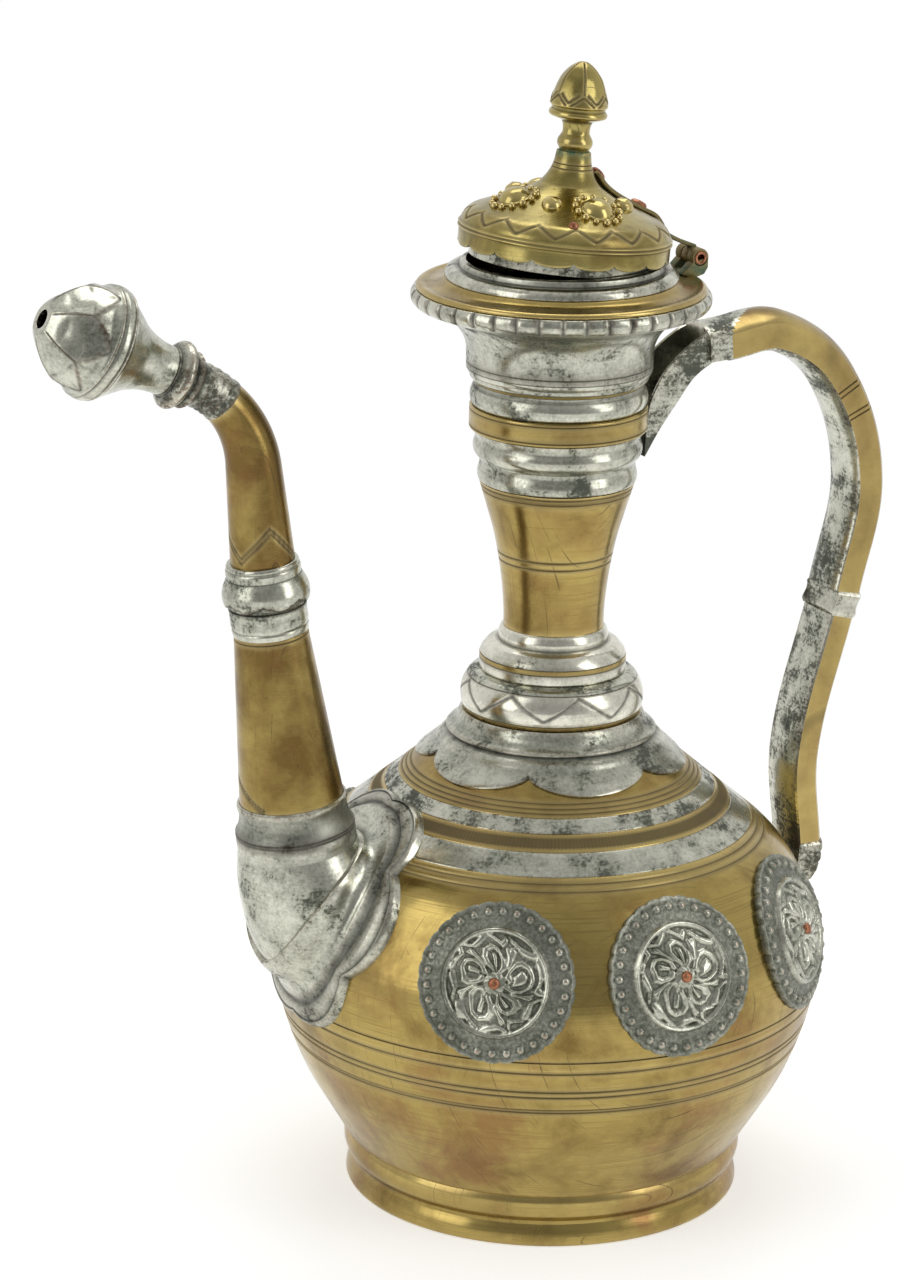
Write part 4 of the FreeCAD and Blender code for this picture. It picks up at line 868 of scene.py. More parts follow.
# The escutcheon: a cove from the seam down to an oval ridge, then a lobed rim that lies on the belly
escutcheon = {
    "tilt": 23.0, "middle": 6.5, "oval": (24.5, 31.5), "lip": 1.3, "rows": 18,
    "rim": [(0.0, 3.6), (0.08, 3.5), (0.18, 2.5), (0.3, 2.2), (0.45, 2.7), (0.65, 2.9), (0.8, 2.5), (0.86, 2.2),
            (0.92, 2.6), (0.97, 2.4), (1.0, 1.4), (1.0, -0.6)],
    "lobes": [(0.0, 42.0), (16.5, 40.0), (24.3, 24.0), (35.5, 8.5), (26.5, -11.0), (21.5, -25.0), (0.0, -31.0)]}
belly = {"level": 80, "lowHub": 0.6, "lowRadius": 85.9, "hub": 37.3, "radius": 49.2, "coneFrom": 0.8332}


def bellyGap(place):
    # How far a point is outside the belly
    out, up = fromAxis(place), place.z - belly["level"]
    if up < 0:
        return hypot(out - belly["lowHub"], up) - belly["lowRadius"]
    if out - belly["hub"] < up * belly["coneFrom"]:
        across, rise = shoulderCone["normal"]
        return (out - shoulderCone["radius"]) * across + (place.z - shoulderCone["height"]) * rise
    return hypot(out - belly["hub"], up) - belly["radius"]


def seatOnBelly(place, normal, height):
    return place + normal * halve(-60.0, 30.0, lambda move: bellyGap(place + normal * move) <= height)


def plateFrame(tilt, side, lift=0.0):
    # The normal, the up direction and the middle of a plate that lies on the belly's round
    normal = Vector((side * cos(tilt), 0, sin(tilt)))
    up = Vector((-side * sin(tilt), 0, cos(tilt)))
    middle = Vector((side * belly["hub"], 0, belly["level"])) + normal * belly["radius"]
    return normal, up, middle + up * lift


def lobeReach(turn):
    # How far the lobed outline is from the oval's middle in one direction; each lobe is an arc through three points
    across, up = abs(sin(turn)), cos(turn)
    spots = escutcheon["lobes"]
    middle = Vector((0, escutcheon["middle"]))
    for first in (0, 2, 4):
        a, b, c = [Vector(spot) - middle for spot in spots[first:first + 3]]
        if atan2(a.x, a.y) - 1e-6 <= atan2(across, up) <= atan2(c.x, c.y) + 1e-6:
            break
    doubled = 2 * (a.x * (b.y - c.y) + b.x * (c.y - a.y) + c.x * (a.y - b.y))
    hub = Vector(((a.dot(a) * (b.y - c.y) + b.dot(b) * (c.y - a.y) + c.dot(c) * (a.y - b.y)) / doubled,
                  (a.dot(a) * (c.x - b.x) + b.dot(b) * (a.x - c.x) + c.dot(c) * (b.x - a.x)) / doubled))
    ahead = Vector((across, up)).dot(hub)
    return ahead + sqrt(max(0.0, ahead * ahead - hub.dot(hub) + (a - hub).length_squared))


plateNormal, plateUp, plateMiddle = plateFrame(radians(escutcheon["tilt"]), -1, escutcheon["middle"])


def onPlate(turn, reach, height):
    flat = plateMiddle + plateUp * (reach * cos(turn)) + Vector((0, reach * sin(turn), 0))
    return seatOnBelly(flat, plateNormal, height)


look = escutcheon
wide, tall = look["oval"]
foot = look["rim"][0][1]
coves = []
for turn, lean in zip(bootTurns, seamLeans):
    oval = wide * tall / hypot(wide * cos(turn), tall * sin(turn))
    ridge = onPlate(turn, oval, foot)
    start = bootPoint(lean, turn, look["lip"])
    ahead = (bootPoint(lean + 1, turn, look["lip"]) - start).normalized()
    outward = (onPlate(turn, oval + 1, foot) - ridge).normalized()
    span = (ridge - start).length
    near, far = start + ahead * span * 0.42, ridge - outward * span * 0.34
    line = [bootPoint(lean - 0.3, turn, -0.4), bootPoint(lean - 0.3, turn, look["lip"] * 0.7)]
    line += interpolate_bezier(start, near, far, ridge, look["rows"] + 1)
    beyond = max(lobeReach(turn), oval + 2.5) - oval
    line += [onPlate(turn, oval + beyond * share, height) for share, height in look["rim"][1:]]
    coves.append(line)
finishPiece("spoutEscutcheon", sweep([list(ring) for ring in zip(*coves)], "open"), [cloudedTin])
print("spout ready")


# Handle: a roofed brass channel with a tinned strip inside its bend

handleBar = {
    "path": [(55.0, 270.3), (75.9, 271.5), (97.9, 255.3), (109.8, 220.9), (103.2, 183.9), (100.9, 175.9),
             (90.2, 132.0), (92.3, 100.0)], "steps": 32, "half": 9.0, "eave": 2.6, "roof": 5.6, "upperEdge": -5.6,
    "lowerEdge": -4.6, "lines": [252.6, 251.1, 244.6, 243.1], "linesFrom": 80, "lineCut": 0.35, "lineGrimeAndShade": 0.8,
    "sleeveBack": 7.0, "sleeveEnd": 0.5, "sleeveSlant": 22.0}


def smoothPath(points, steps):
    # Even-handled Bezier through the points
    spots = [Vector(point) for point in points]
    aims = [(after - before).normalized() for before, after in zip(spots[:1] + spots, spots[1:] + spots[-1:])]
    path = []
    for here, after, aim, nextAim in zip(spots, spots[1:], aims, aims[1:]):
        reach = (after - here).length * 0.36
        path += interpolate_bezier(here, here + aim * reach, after - nextAim * reach, after, steps + 1)[:-1]
    return path + spots[-1:]


def barFrames(points):
    # (place, outward) along a flat path in the XZ plane
    frames = []
    for before, here, after in zip(points[:1] + points, points, points[1:] + points[-1:]):
        along = (after - before).normalized()
        frames.append((Vector((here[0], 0, here[1])), Vector((-along[1], 0, along[0]))))
    return frames


def barRing(post, section):
    place, outward = post
    return [place + outward * out + Vector((0, across, 0)) for across, out in section]


def mirrored(side, middle=()):
    return side + list(middle) + [(-across, out) for across, out in reversed(side)]


def channelSection(edge, grow=0.0):
    half, eave, roof = [handleBar[part] + grow for part in ("half", "eave", "roof")]
    low = edge - grow
    crown = [(half * (1 - 2 * number / 14), eave + (roof - eave) * sin(pi * number / 14) ** 0.9)
             for number in range(1, 14)]
    return mirrored([(half - 0.5, low + 0.5), (half, low), (half, low + 0.4), (half, -1.0), (half, eave - 0.35)], crown)


def stripSection(edge, deep):
    half = handleBar["half"] - 0.05
    side = [(half, edge + 0.1), (half * 0.94, edge - 0.5), (half * 0.6, edge - (edge - deep) * 0.75),
            (half * 0.5, edge - (edge - deep) * 0.88)]
    return mirrored(side, [(0, deep)]) + [(-half * 0.9, edge + 0.9), (half * 0.9, edge + 0.9)]


def placeKey(point):
    return tuple(round(part, 3) for part in point)


look = handleBar
path = smoothPath(look["path"], look["steps"])
startAim = (path[1] - path[0]).normalized()
lead = [path[0] - startAim * look["sleeveBack"] * share for share in (1.0, 0.86, 0.72, 0.58, 0.44, 0.3, 0.15)]
topEnd, lowStart = 4 * look["steps"], 5 * look["steps"]
barTop, barMiddle, barLow = lead + path[:topEnd + 1], path[topEnd:lowStart + 1], path[lowStart:]

# Extra rows where the graver crossed the bar
marked = []
plain = [spot for spot in barTop
         if spot[0] < look["linesFrom"] or all(abs(spot[1] - level) > 0.9 for level in look["lines"])]
for here, after in zip(plain, plain[1:] + plain[-1:]):
    marked.append((here, 0.0))
    for level in look["lines"]:
        if here[0] > look["linesFrom"] and here[1] >= level > after[1]:
            spot = here.lerp(after, (here[1] - level) / (here[1] - after[1]))
            aim = (after - here).normalized()
            marked += [(spot + aim * shift, 0.0 if shift else look["lineCut"])
                       for shift in (-0.7, -0.5, -0.3, 0, 0.3, 0.5, 0.7)]
spots = [spot for spot, cut in marked]
far = -look["sleeveBack"]
rings = []
reachOf = {}
cutPoints = set()
for post, before, (spot, cut) in zip(barFrames(spots), spots[:1] + spots, marked):
    far += (spot - before).length
    ring = barRing(post, channelSection(look["upperEdge"], -cut))
    rings.append(ring)
    reachOf.update((placeKey(point), far) for point in ring)
    if cut:
        cutPoints.update(placeKey(point) for point in ring)
bm = sweep(rings)
# The graver lines are darkened, partly as grime and partly as painted shade in the cuts
stain(bm, "grime", lambda point: look["lineGrimeAndShade"] if placeKey(point) in cutPoints else 0.0)
for face in bm.faces:
    # The tinned sleeve ends on a slant over the roof
    along = sum(reachOf.get(placeKey(vert.co), 0.0) for vert in face.verts) / len(face.verts)
    across = (face.calc_center_median().y + look["half"]) / (2 * look["half"])
    onSide = abs(face.normal.y) > 0.9 or len(face.verts) > 8
    edge = look["sleeveEnd"] + (0 if onSide and face.normal.y < 0 else across * look["sleeveSlant"])
    face.material_index = 1 if along < edge else 0
finishPiece("handleUpperChannel", bm, [barBrass, darkTin])

bm = sweep([barRing(post, channelSection(look["lowerEdge"])) for post in barFrames(barLow)])
finishPiece("handleLowerChannel", bm, [barBrass])

for name, run, edge, deep in (("handleUpperStrip", barTop[9:], look["upperEdge"], -7.6),
                              ("handleLowerStrip", barLow, look["lowerEdge"], -5.9)):
    bm = sweep([barRing(post, stripSection(edge, deep)) for post in barFrames(run)])
    finishPiece(name, bm, [darkTin])

# The ferrule half way down is a sleeve of tin hammered flush, with a scored line at each end
midFerrule = {
    "edge": -5.2,
    "grow": [(0, 0.1), (0.08, 0.5), (0.16, 0.6), (0.3, 0.35), (0.5, 0.25), (0.7, 0.4), (0.84, 0.6), (0.92, 0.5),
             (1, 0.1)]}
posts = barFrames(barMiddle)
bm = sweep([barRing(posts[round(share * handleBar["steps"])], channelSection(midFerrule["edge"], grow))
            for share, grow in midFerrule["grow"]])
finishPiece("handleMidFerrule", bm, [darkTin])

# The foot is bound in three rings and drawn down to a tail on the belly: (x, z, scale, growth)
handleFoot = {
    "edge": -5.0,
    "rows": [(92.4, 101.2, 1.0, 0.1), (92.4, 100.6, 1.0, 0.5), (92.4, 98.6, 1.0, 0.6), (92.3, 97.6, 1.0, 0.2),
             (92.2, 97.0, 1.0, 0.5), (92.0, 95.4, 0.99, 0.6), (91.8, 94.6, 0.98, 0.2), (91.6, 94.0, 0.97, 0.5),
             (91.2, 92.0, 0.94, 0.4), (90.4, 89.5, 0.84, 0.1), (89.2, 87.4, 0.66, 0.0), (87.6, 85.6, 0.42, 0.0),
             (86.2, 84.6, 0.2, 0.0)]}
posts = barFrames([Vector(row[:2]) for row in handleFoot["rows"]])
rings = []
for post, (x, z, scale, grow) in zip(posts, handleFoot["rows"]):
    section = channelSection(handleFoot["edge"], grow)
    rings.append(barRing(post, [(across * min(1.0, scale * 1.15), out * scale) for across, out in section]))
finishPiece("handleFoot", sweep(rings), [darkTin])

# The bracket is folded from sheet: two cheeks and a floor, open above
handleBracket = {
    "under": [(26.6, 236.0), (31.5, 244.0), (37.8, 252.6), (44.1, 260.3), (55.0, 266.6)],
    "over": [(26.9, 247.0), (28.6, 254.0), (34.2, 263.4), (44.6, 271.6), (54.6, 274.6)], "half": 7.5, "wall": 1.2,
    "steps": 8}
look = handleBracket
half, wall = look["half"], look["wall"]
rings = []
for low, high in zip(smoothPath(look["under"], look["steps"]), smoothPath(look["over"], look["steps"])):
    up = (high - low).normalized() * wall
    section = mirrored([(half, low), (half, high), (half - 0.4, high + up * 0.25), (half - wall, high),
                        (half - wall, low + up)])
    rings.append([Vector((spot[0], across, spot[1])) for across, spot in section])
finishPiece("handleBracket", sweep(rings), [darkTin])
print("handle ready")


# Medallions: pressed plates with a beaded border and chased leaves, seated on the belly.
# The leaves are a plain five-fold rosette; strokes are (out, aside) in millimetres along one petal.

medallion = {
    "tilt": 17.5, "lobes": 30, "lobeFrom": 21.5, "lobeFade": 2.5, "lobeCut": 0.6, "beadRing": 20.9, "beadSize": 1.3,
    "border": 22.4, "ridge": 15.5, "heart": 3.6, "plate": 1.2, "skirt": 1.6, "petals": 5, "lineHalf": 1.1,
    "columns": 360, "rowStep": 0.4, "rows": 56, "edgeRows": [22.9, 23.3, 23.7, 24.0],
    "turns": [231.9, 271.7, 311.5, 128.1, 88.3, 48.5],
    "strokes": [[(3.6, 0.8), (5.2, 2.6), (7.6, 3.4), (9.8, 2.6), (10.8, 0.3)], [(5.4, 0.0), (8.2, 0.3)],
                [(14.2, 0.8), (12.8, 2.8), (11.4, 5.0), (12.0, 7.4)], [(5.2, 3.9), (7.6, 5.6), (9.6, 6.2)]]}


def strokeGap(out, aside, line):
    spot = Vector((out, aside))
    best = 99.0
    for start, end in zip(line, line[1:]):
        base, run = Vector(start), Vector(end) - Vector(start)
        share = min(1.0, max(0.0, (spot - base).dot(run) / run.length_squared))
        best = min(best, (spot - base - run * share).length)
    return best


def medallionForm(reach, turn):
    # Height over the belly, how bright the chased work is there, and how bare its copper
    look = medallion
    plate = look["plate"]
    beadTurn = 2 * pi / look["lobes"]
    aside = (turn + beadTurn / 2) % beadTurn - beadTurn / 2
    bead = hypot(reach - look["beadRing"], look["beadRing"] * aside) / look["beadSize"]
    if bead < 1:
        return plate + 1.2 * sqrt(1 - bead * bead), 0.25 + 0.6 * (1 - bead), max(0.0, 1 - bead * 1.2)
    if reach > look["border"]:
        return plate + 0.5 * min(1.0, (reach - look["border"]) / 0.8), 0.35, 0.0
    ring = abs(reach - look["ridge"])
    if ring < 1:
        return plate + 0.1 + 1.2 * (1 - ring * ring), 1 - 0.6 * ring, 0.5 * ring
    if reach > look["ridge"]:
        return plate, 0.04, 0.0
    if reach < look["heart"]:
        return plate + 0.3 + 0.9 * (1 - (reach / look["heart"]) ** 2) + 0.15 * sin(5 * turn + 2 * reach), 0.7, 0.3
    # A hand-cut rosette is never quite even
    wander = turn + 0.04 * (reach - 8) + 0.14 * sin(2 * turn + 1) + 0.05 * sin(7 * turn)
    petal = 2 * pi / look["petals"]
    fold = abs((wander + petal / 2) % petal - petal / 2)
    out = reach + 0.7 * sin(3 * turn + 0.7) + 0.3 * sin(8 * turn)
    gap = min(strokeGap(out * cos(fold), out * sin(fold), line) for line in look["strokes"])
    line = max(0.0, 1 - (gap / look["lineHalf"]) ** 2)
    pad = 0.14 * exp(-((gap - 1.6) / 0.8) ** 2)
    return plate - 0.2 + 1.1 * line + pad, 0.15 + 0.8 * line, 0.2 * line


def bellyOut(place):
    # The direction straight out of the belly
    out = fromAxis(place)
    share = 1 - (belly["lowHub"] if place.z < belly["level"] else belly["hub"]) / out
    return Vector((place.x * share, place.y * share, place.z - belly["level"])).normalized()


look = medallion
tilt = radians(look["tilt"])
medalNormal, medalUp, medalMiddle = plateFrame(tilt, 1)
reaches = [look["rowStep"] + look["rowStep"] * number for number in range(look["rows"])] + look["edgeRows"]
rings = []
formOf = {}
for reach in reaches:
    ring = []
    for turn in turnsRound(look["columns"]):
        wave = abs(cos(look["lobes"] / 2 * turn)) ** 0.55
        lobed = reach - max(0.0, (reach - look["lobeFrom"]) / look["lobeFade"]) * look["lobeCut"] * (1 - wave)
        flat = medalMiddle + medalUp * (lobed * cos(turn)) + Vector((0, lobed * sin(turn), 0))
        seat = seatOnBelly(flat, medalNormal, 0)
        height, bright, bare = medallionForm(reach, turn)
        height *= 0.6 if reach == reaches[-1] else 1.0
        ring.append(seat + bellyOut(seat) * height)
        formOf[placeKey(ring[-1])] = (bright, bare)
    rings.append(ring)
rings.append([seat - bellyOut(seat) * look["skirt"] for seat in rings[-1]])
bm = sweep(rings, "open")
bmesh.ops.holes_fill(bm, edges=[edge for edge in bm.edges if edge.is_boundary
                                and (edge.verts[0].co - rings[0][0]).length < 2], sides=0)
bmesh.ops.recalc_face_normals(bm, faces=bm.faces)
for number, layerName in enumerate(("relief", "wear")):
    stain(bm, layerName, lambda point: formOf.get(placeKey(point), (0.0, 0.0))[number])
for number, turn in enumerate(look["turns"], 1):
    plate = bm.copy()
    bmesh.ops.rotate(plate, cent=(0, 0, 0), matrix=Matrix.Rotation(radians(turn), 3, "Z"), verts=plate.verts)
    finishPiece("medallion%d" % number, plate, [chasedTin], nodes=["medallion_%d" % number], spread=0)
bm.free()

medallionRivet = {"outline": [(0.05, 1.4, 0), (1.8, 1.4, 0.2), (1.8, 2.6, 0.3), (1.3, 3.4, 0.6), (0.05, 3.6, 0)]}
bm = turnShape(medallionRivet, 32)
seat = Matrix.Translation(medalMiddle) @ Matrix.Rotation(pi / 2 - tilt, 4, "Y")
repeatAt(bm, [Matrix.Rotation(radians(turn), 4, "Z") @ seat for turn in medallion["turns"]])
finishPiece("medallionRivets", bm, [rivetCopper])
print("medallions ready")


# Lid. It is drawn shut and then set ajar about the hinge, as photographed.

hinge = {"x": 45.3, "z": 296.8, "ajar": 5.4, "barrel": 2.9, "bore": 2.1, "half": 5.5, "middle": 1.7, "gap": 0.3,
         "pinBore": 1.2, "pinProud": 0.3, "grime": 0.5}


def finishLid(name, bm, finishes, nodes=None):
    bmesh.ops.rotate(bm, cent=(hinge["x"], 0, hinge["z"]), verts=bm.verts,
                     matrix=Matrix.Rotation(radians(hinge["ajar"]), 3, "Y"))
    finishPiece(name, bm, finishes, "lid", nodes)


lidDome = {
    "base": 297.0,
    "outline": [(32.4, 0, 0.3), (32.4, 5.0, 0.2), (33.0, 5.6, 0.25), (32.5, 6.2, 0.15), (32.9, 6.8, 0.2),
                (32.2, 7.4, 0.3), (31.2, 10.8, 3.0), (12.6, 18.4, 4.5), (6.4, 23.6, 4.5), (5.2, 31.1, 0.2),
                (3.2, 31.1, 0), (3.2, 30.2, 0), (4.3, 30.2, 0), (5.6, 23.2, 4.0), (12.0, 17.5, 4.2),
                (30.2, 10.2, 2.8), (31.6, 6.5, 0.5), (31.6, 0, 0.2)], "lines": [(26.0, 0.5, 0.25), (27.2, 0.5, 0.25)],
    "scallops": 16, "scallopRise": 1.8, "skirt": 2.2, "green": 28.6, "teeth": 16, "girth": 31.0, "chased": (7.8, 13),
    "low": 8.6, "high": 11.8, "cut": 0.38, "width": 0.42}
look = lidDome
bm = turnShape(look, 320, 0.7, look["base"])
verdigris = bm.verts.layers.float["verdigris"]
for vert in bm.verts:
    rise = vert.co.z - look["base"]
    if rise < look["skirt"]:
        # The skirt is nibbled into scallops
        phase = (atan2(vert.co.y, vert.co.x) / (2 * pi) * look["scallops"]) % 1.0
        arc = sqrt(max(0.0, 1 - (2 * phase - 1) ** 2))
        vert.co.z += (1 - arc) * look["scallopRise"] * (1 - rise / look["skirt"])
    vert[verdigris] = (rise - look["green"]) / 2.5 if rise > look["green"] else max(0.0, (1.2 - rise) / 4)


def domeZigzag(point):
    rise = point.z - lidDome["base"]
    # Only the outer skin is chased: its slope falls in from the foot at 1.15 to 1
    if not lidDome["chased"][0] < rise < lidDome["chased"][1] or fromAxis(point) < 32.0 - (rise - 7) * 1.15:
        return 0
    tooth = 2 * pi * lidDome["girth"] / lidDome["teeth"]
    along = atan2(point.x, -point.y) * lidDome["girth"]
    gap = zigzagGap(along, rise, tooth, lidDome["low"], lidDome["high"])
    return groove(gap, lidDome["width"], lidDome["cut"])


engrave(bm, domeZigzag, 0.4)
finishLid("lidDome", bm, [lidBrass])

lidPlug = {
    "outline": [(27.9, 294.2, 0.2), (28.7, 294.2, 0.3), (28.7, 299.8, 0.2), (31.6, 299.8, 0.2), (31.6, 300.8, 0.2),
                (27.9, 300.8, 0)]}
finishLid("lidPlug", turnShape(lidPlug, 160), [darkTin])

# Bosses stand on the lid's slope: share 0 is at its top and 1 at its foot
lidSlope = {"top": (14.0, 314.8), "foot": (29.0, 308.7), "lean": 22.2}
flowerBoss = {
    "turns": [180, 270, 90], "share": 0.3, "steps": 40, "granules": 13, "granule": 1.15, "ring": 7.0,
    "outline": [(0.05, -1.2, 0), (5.5, -1.2, 0), (5.6, 0.35, 0.2), (4.9, 0.5, 0.2), (4.2, 2.2, 1.5), (2.2, 3.2, 1.2),
                (0.05, 3.4, 0)]}
smallBoss = {
    "turns": [135, 225, 315, 45], "share": 0.22, "steps": 32,
    "outline": [(0.05, -1.0, 0), (3.2, -1.0, 0), (3.2, 0.1, 0.2), (2.9, 1.7, 1.2), (0.05, 2.7, 0)]}
lidStud = {
    "turns": [246], "share": 0.88, "steps": 24,
    "outline": [(0.05, -1.6, 0), (0.75, -1.6, 0), (0.75, 0, 0), (1.6, 0, 0.1), (1.2, 1.0, 0.6), (0.05, 1.4, 0)]}


def slopeSeat(share, turn):
    out, z = Vector(lidSlope["top"]).lerp(lidSlope["foot"], share)
    return (Matrix.Rotation(radians(turn), 4, "Z") @ Matrix.Translation((out, 0, z))
            @ Matrix.Rotation(radians(lidSlope["lean"]), 4, "Y"))


for name, look, finish in (("lidFlowerBosses", flowerBoss, lidBrass), ("lidSmallBosses", smallBoss, lidBrass),
                           ("lidStud", lidStud, rivetCopper)):
    bm = turnShape(look, look["steps"])
    for turn in turnsRound(look.get("granules", 0)):
        swell = look["granule"] * (1 + 0.12 * sin(5 * turn + 1))   # dropped by hand, so not all alike
        spot = Vector((look["ring"] * cos(turn), look["ring"] * sin(turn), 0.35))
        bmesh.ops.create_icosphere(bm, subdivisions=2, radius=swell, matrix=Matrix.Translation(spot))
    repeatAt(bm, [slopeSeat(look["share"], turn) for turn in look["turns"]])
    finishLid(name, bm, [finish])

# The strap is a strip that follows the slope down to the hinge and is rolled into the middle knuckle
hingeStrap = {
    "line": [(6.9, 322.0), (8.2, 320.3), (10.4, 318.0), (14.0, 315.6), (19.0, 313.2), (24.0, 311.1), (28.6, 309.2),
             (31.6, 306.4), (33.4, 303.9), (38.5, 301.4), (45.3, 299.3)],
    "halves": [3.6, 4.0, 4.0, 4.0, 4.0, 4.0, 4.0, 3.4, 2.2, 1.7, 1.7], "roundEnd": (0.55, 0.85, 0.97), "thick": 0.95,
    "steps": 6}
look = hingeStrap
thick = look["thick"]
rings = []
for number, post in enumerate(barFrames(smoothPath(look["line"], look["steps"]))):
    at = number / look["steps"]
    low = min(int(at), len(look["halves"]) - 2)
    half = look["halves"][low] + (look["halves"][low + 1] - look["halves"][low]) * (at - low)
    if number < len(look["roundEnd"]):
        half *= look["roundEnd"][number]
    rings.append(barRing(post, mirrored([(half - 0.25, -0.3), (half, 0), (half, thick - 0.3), (half - 0.3, thick)])))
bm = sweep(rings)
stain(bm, "verdigris", lambda point: 0.5 if point.x > 31 else 0.15)
stain(bm, "grime", lambda point: hinge["grime"])
finishLid("hingeStrap", bm, [hingeBrass])


def knuckle(bm, radius, bore, start, end):
    # One tube of the hinge, turned upright and laid along the pin
    tube = {"outline": [(bore, start, 0.1), (radius, start, 0.35), (radius, end, 0.35), (bore, end, 0.1)]}
    made = turnShape(tube, 40)
    seat = Matrix.Translation((hinge["x"], 0, hinge["z"])) @ Matrix.Rotation(pi / 2, 4, "X")
    bmesh.ops.transform(made, verts=made.verts, matrix=seat)
    mesh = bpy.data.meshes.new("tube")
    made.to_mesh(mesh)
    made.free()
    bm.from_mesh(mesh)
    bpy.data.meshes.remove(mesh)


bm = newMesh()
knuckle(bm, hinge["barrel"], hinge["bore"] + 0.05, -hinge["middle"], hinge["middle"])
stain(bm, "grime", lambda point: hinge["grime"])
finishLid("strapKnuckle", bm, [hingeBrass], nodes=())

strapRivet = {
    "seats": [(8.3, 320.3, 46.0), (24.0, 311.2, 22.2)],
    "outline": [(0.05, -1.0, 0), (2.7, -1.0, 0), (2.7, 0.3, 0.1), (2.2, 1.1, 0.5), (0.05, 1.4, 0)]}
bm = turnShape(strapRivet, 32)
repeatAt(bm, [Matrix.Translation((x, 0, z)) @ Matrix.Rotation(radians(lean), 4, "Y") @ Matrix.Translation((0, 0, thick))
              for x, z, lean in strapRivet["seats"]])
finishLid("strapRivets", bm, [rivetCopper])

# Two knuckles on a sheet foot that is brazed to the flange, green with verdigris
hingeLeaf = {
    "foot": [(38.8, 292.0), (41.4, 291.1), (44.6, 291.0), (46.8, 291.6), (48.1, 293.6), (48.1, 296.8), (42.6, 295.6),
             (40.6, 293.6)],
    "saddle": [(38.8, 292.0), (41.4, 291.1), (44.6, 291.0), (46.8, 291.6), (47.0, 292.3), (44.4, 292.6),
               (41.6, 292.9)], "saddleHalf": 2.1, "greenBelow": 1.5}
bm = newMesh()
half, saddle = hinge["half"], hingeLeaf["saddleHalf"]
for shape, start, end in (("foot", -half, -saddle), ("saddle", -saddle, saddle), ("foot", saddle, half)):
    # The middle is cut down, so that the strap's knuckle has room to turn
    block = bm.faces.new([bm.verts.new((x, start, z)) for x, z in hingeLeaf[shape]])
    grown = bmesh.ops.extrude_face_region(bm, geom=[block])["geom"]
    bmesh.ops.translate(bm, vec=(0, end - start, 0), verts=list(filter(isVert, grown)))
bmesh.ops.recalc_face_normals(bm, faces=bm.faces)
bmesh.ops.bevel(bm, geom=bm.edges[:], offset=0.3, offset_type="OFFSET", affect="EDGES", segments=3, profile=0.5,
                material=-1)
for start, end in ((-half, -hinge["middle"] - hinge["gap"]), (hinge["middle"] + hinge["gap"], half)):
    knuckle(bm, hinge["barrel"], hinge["bore"], start, end)
stain(bm, "verdigris", lambda point: 0.9 if point.z < hinge["z"] - hingeLeaf["greenBelow"] else 0.1)
stain(bm, "grime", lambda point: hinge["grime"])
finishPiece("hingeLeaf", bm, [hingeBrass])

bm = newMesh()
knuckle(bm, hinge["bore"], hinge["pinBore"], -half - hinge["pinProud"], half + hinge["pinProud"])
finishPiece("hingePin", bm, [rivetCopper])

finial = {
    "base": 328.1,
    "outline": [(0.05, -0.6, 0), (4.4, -0.6, 0.1), (4.5, 0.4, 0.3), (5.9, 2.5, 1.5), (4.6, 4.7, 0.5),
                (4.2, 5.3, 0.3), (3.9, 7.4, 1.8), (4.8, 9.2, 1.2), (8.6, 10.5, 0.3), (9.0, 11.2, 0.3),
                (8.8, 12.0, 0.2), (8.1, 12.6, 0.2), (8.3, 13.4, 0.2), (8.9, 13.9, 0.3), (8.8, 15.0, 0.6),
                (8.1, 19.6, 3.0), (5.3, 24.6, 2.6), (1.4, 27.0, 0.6), (0.05, 27.15, 0)], "facets": 6,
    "firstEdge": -110, "fork": 18.0, "ring": 14.4, "tip": 26.9, "sag": 0.35, "cut": 0.4, "width": 0.45, "rib": 0.7,
    "room": 3.0, "widest": 8.3, "green": 1.1}
look = finial
bm = turnShape(look, 168, 0.5)
facetFlat(bm, look)
stain(bm, "verdigris", lambda point: max(0.0, 0.9 - point.z / 1.2) if point.z < look["green"] else 0.0)
bmesh.ops.translate(bm, vec=(0, 0, look["base"]), verts=bm.verts)
finishLid("lidFinial", bm, [lidBrass], nodes=["finial"])
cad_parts["finial_washer"].material_slots[0].material = lidBrass
print("lid ready")


# Camera, lamps and floor

view = {"turn": 26.742, "pitch": 16.748, "roll": 1.032, "place": (-0.65618, -1.23410, 0.5978), "lens": 131.6}
lens = bpy.data.cameras.new("camera")
lens.sensor_fit = "VERTICAL"
lens.sensor_height = 36
lens.lens = view["lens"]
camera = bpy.data.objects.new("camera", lens)
camera.matrix_world = (Matrix.Translation(view["place"]) @ Matrix.Rotation(radians(-view["turn"]), 4, "Z")
                       @ Matrix.Rotation(radians(90 - view["pitch"]), 4, "X")
                       @ Matrix.Rotation(radians(view["roll"]), 4, "Z"))
bpy.context.scene.collection.objects.link(camera)
bpy.context.scene.camera = camera

# Two soft boxes beside the camera and a weaker one overhead:
# (turn from the camera, lift, distance, width, height, watts)
lamps = {
    "left": (-58, 22, 1.1, 0.6, 1.0, 3), "right": (62, 24, 1.1, 0.4, 1.0, 2.7), "top": (175, 66, 1.1, 0.8, 0.5, 2.5)}
for name, (turn, lift, distance, width, height, watts) in lamps.items():
    light = bpy.data.lights.new(name, "AREA")
    light.shape = "RECTANGLE"
    light.size = width
    light.size_y = height
    light.energy = watts
    lamp = bpy.data.objects.new(name, light)
    aim = (Matrix.Translation((0, 0, 0.17)) @ Matrix.Rotation(radians(turn - view["turn"]), 4, "Z")
           @ Matrix.Rotation(radians(90 - lift), 4, "X"))
    lamp.matrix_world = aim @ Matrix.Translation((0, 0, distance))
    lamp.visible_camera = False
    bpy.context.scene.collection.objects.link(lamp)

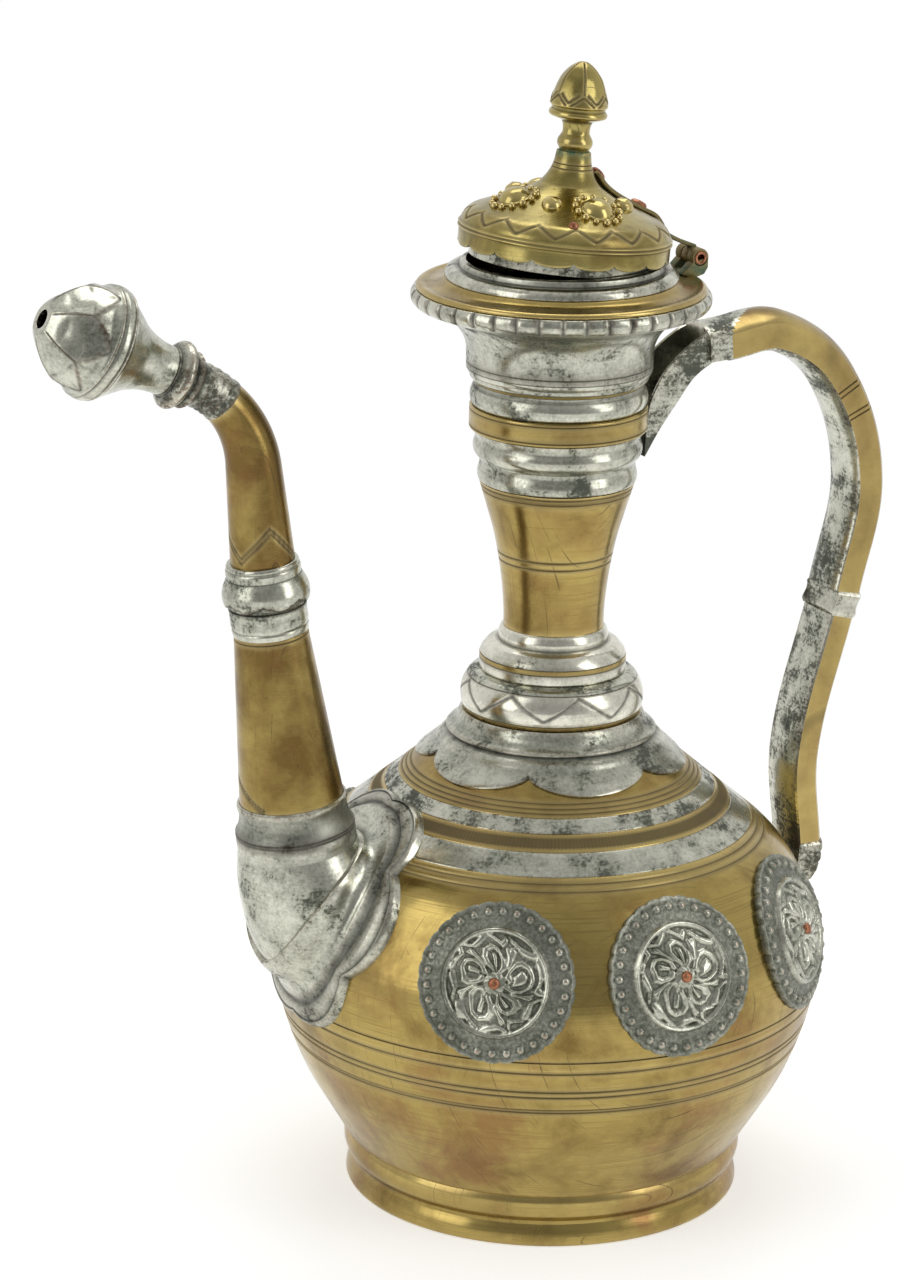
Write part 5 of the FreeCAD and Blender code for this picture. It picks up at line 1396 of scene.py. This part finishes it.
world = bpy.data.worlds.new("studio")
world.use_nodes = True
bpy.context.scene.world = world
tree = world.node_tree
backdrop = tree.nodes["Background"]
rays = addNode(tree, "LightPath")
heading = addNode(tree, "TexCoord").outputs["Generated"]
# Mirror rays see white behind the pot, a grey room on the camera's side and the dark of the camera itself
towards = addNode(tree, "VectorMath", {"operation": "DOT_PRODUCT", 1: (-0.45, -0.89, 0.1)},
                  {0: heading}).outputs["Value"]
room = addNode(tree, "MapRange", {"From Min": -0.5, "From Max": 0.7, "To Min": 0.9, "To Max": 0.46},
               {"Value": towards}).outputs[0]
dark = addNode(tree, "MapRange", {"From Min": 0.72, "From Max": 0.96, "To Min": 1.0, "To Max": 0.75},
               {"Value": towards}).outputs[0]
room = addNode(tree, "Math", {"operation": "MULTIPLY"}, {0: room, 1: dark}).outputs[0]
shade = addNode(tree, "Mix", {2: 0.5}, {0: rays.outputs["Is Glossy Ray"], 3: room}).outputs[0]
shade = addNode(tree, "Mix", {3: 1.0}, {0: rays.outputs["Is Camera Ray"], 2: shade}).outputs[0]
tree.links.new(shade, backdrop.inputs["Strength"])
backdrop.inputs["Color"].default_value = hexLinear("#FFFFFF")

floorLook = {"colour": "#F1F1EF", "lift": 0.45, "radius": 1.6, "fade": (0.28, 0.62)}
bm = bmesh.new()
bmesh.ops.create_circle(bm, cap_ends=True, segments=96, radius=floorLook["radius"])
mesh = bpy.data.meshes.new("floor")
bm.to_mesh(mesh)
bm.free()
floor = bpy.data.objects.new("floor", mesh)
bpy.context.scene.collection.objects.link(floor)
paper = bpy.data.materials.new("matt white paper")   # smooth and soft, with no gloss
paper.use_nodes = True
tree = paper.node_tree
shader = tree.nodes["Principled BSDF"]
shader.inputs["Base Color"].default_value = hexLinear(floorLook["colour"])
shader.inputs["Roughness"].default_value = 0.9
shader.inputs["Emission Color"].default_value = hexLinear("#FFFFFF")
rays = addNode(tree, "LightPath")
seen = addNode(tree, "Math", {"operation": "MAXIMUM"},
               {0: rays.outputs["Is Camera Ray"], 1: rays.outputs["Is Glossy Ray"]})
lift = addNode(tree, "Math", {"operation": "MULTIPLY", 1: floorLook["lift"]}, {0: seen.outputs[0]})
tree.links.new(lift.outputs[0], shader.inputs["Emission Strength"])
away = addNode(tree, "VectorMath", {"operation": "LENGTH"},
               {0: addNode(tree, "TexCoord").outputs["Object"]}).outputs["Value"]
gone = addNode(tree, "MapRange", {"interpolation_type": "SMOOTHSTEP", "From Min": floorLook["fade"][0],
                                            "From Max": floorLook["fade"][1]}, {"Value": away}).outputs[0]
bright = addNode(tree, "Emission", {"Strength": 1.0})
mixed = addNode(tree, "MixShader", {}, {0: gone, 1: shader.outputs[0], 2: bright.outputs[0]})
tree.links.new(mixed.outputs[0], tree.nodes["Material Output"].inputs["Surface"])
mesh.materials.append(paper)
bpy.context.scene.view_settings.view_transform = "Standard"
print("camera, lamps and floor ready")
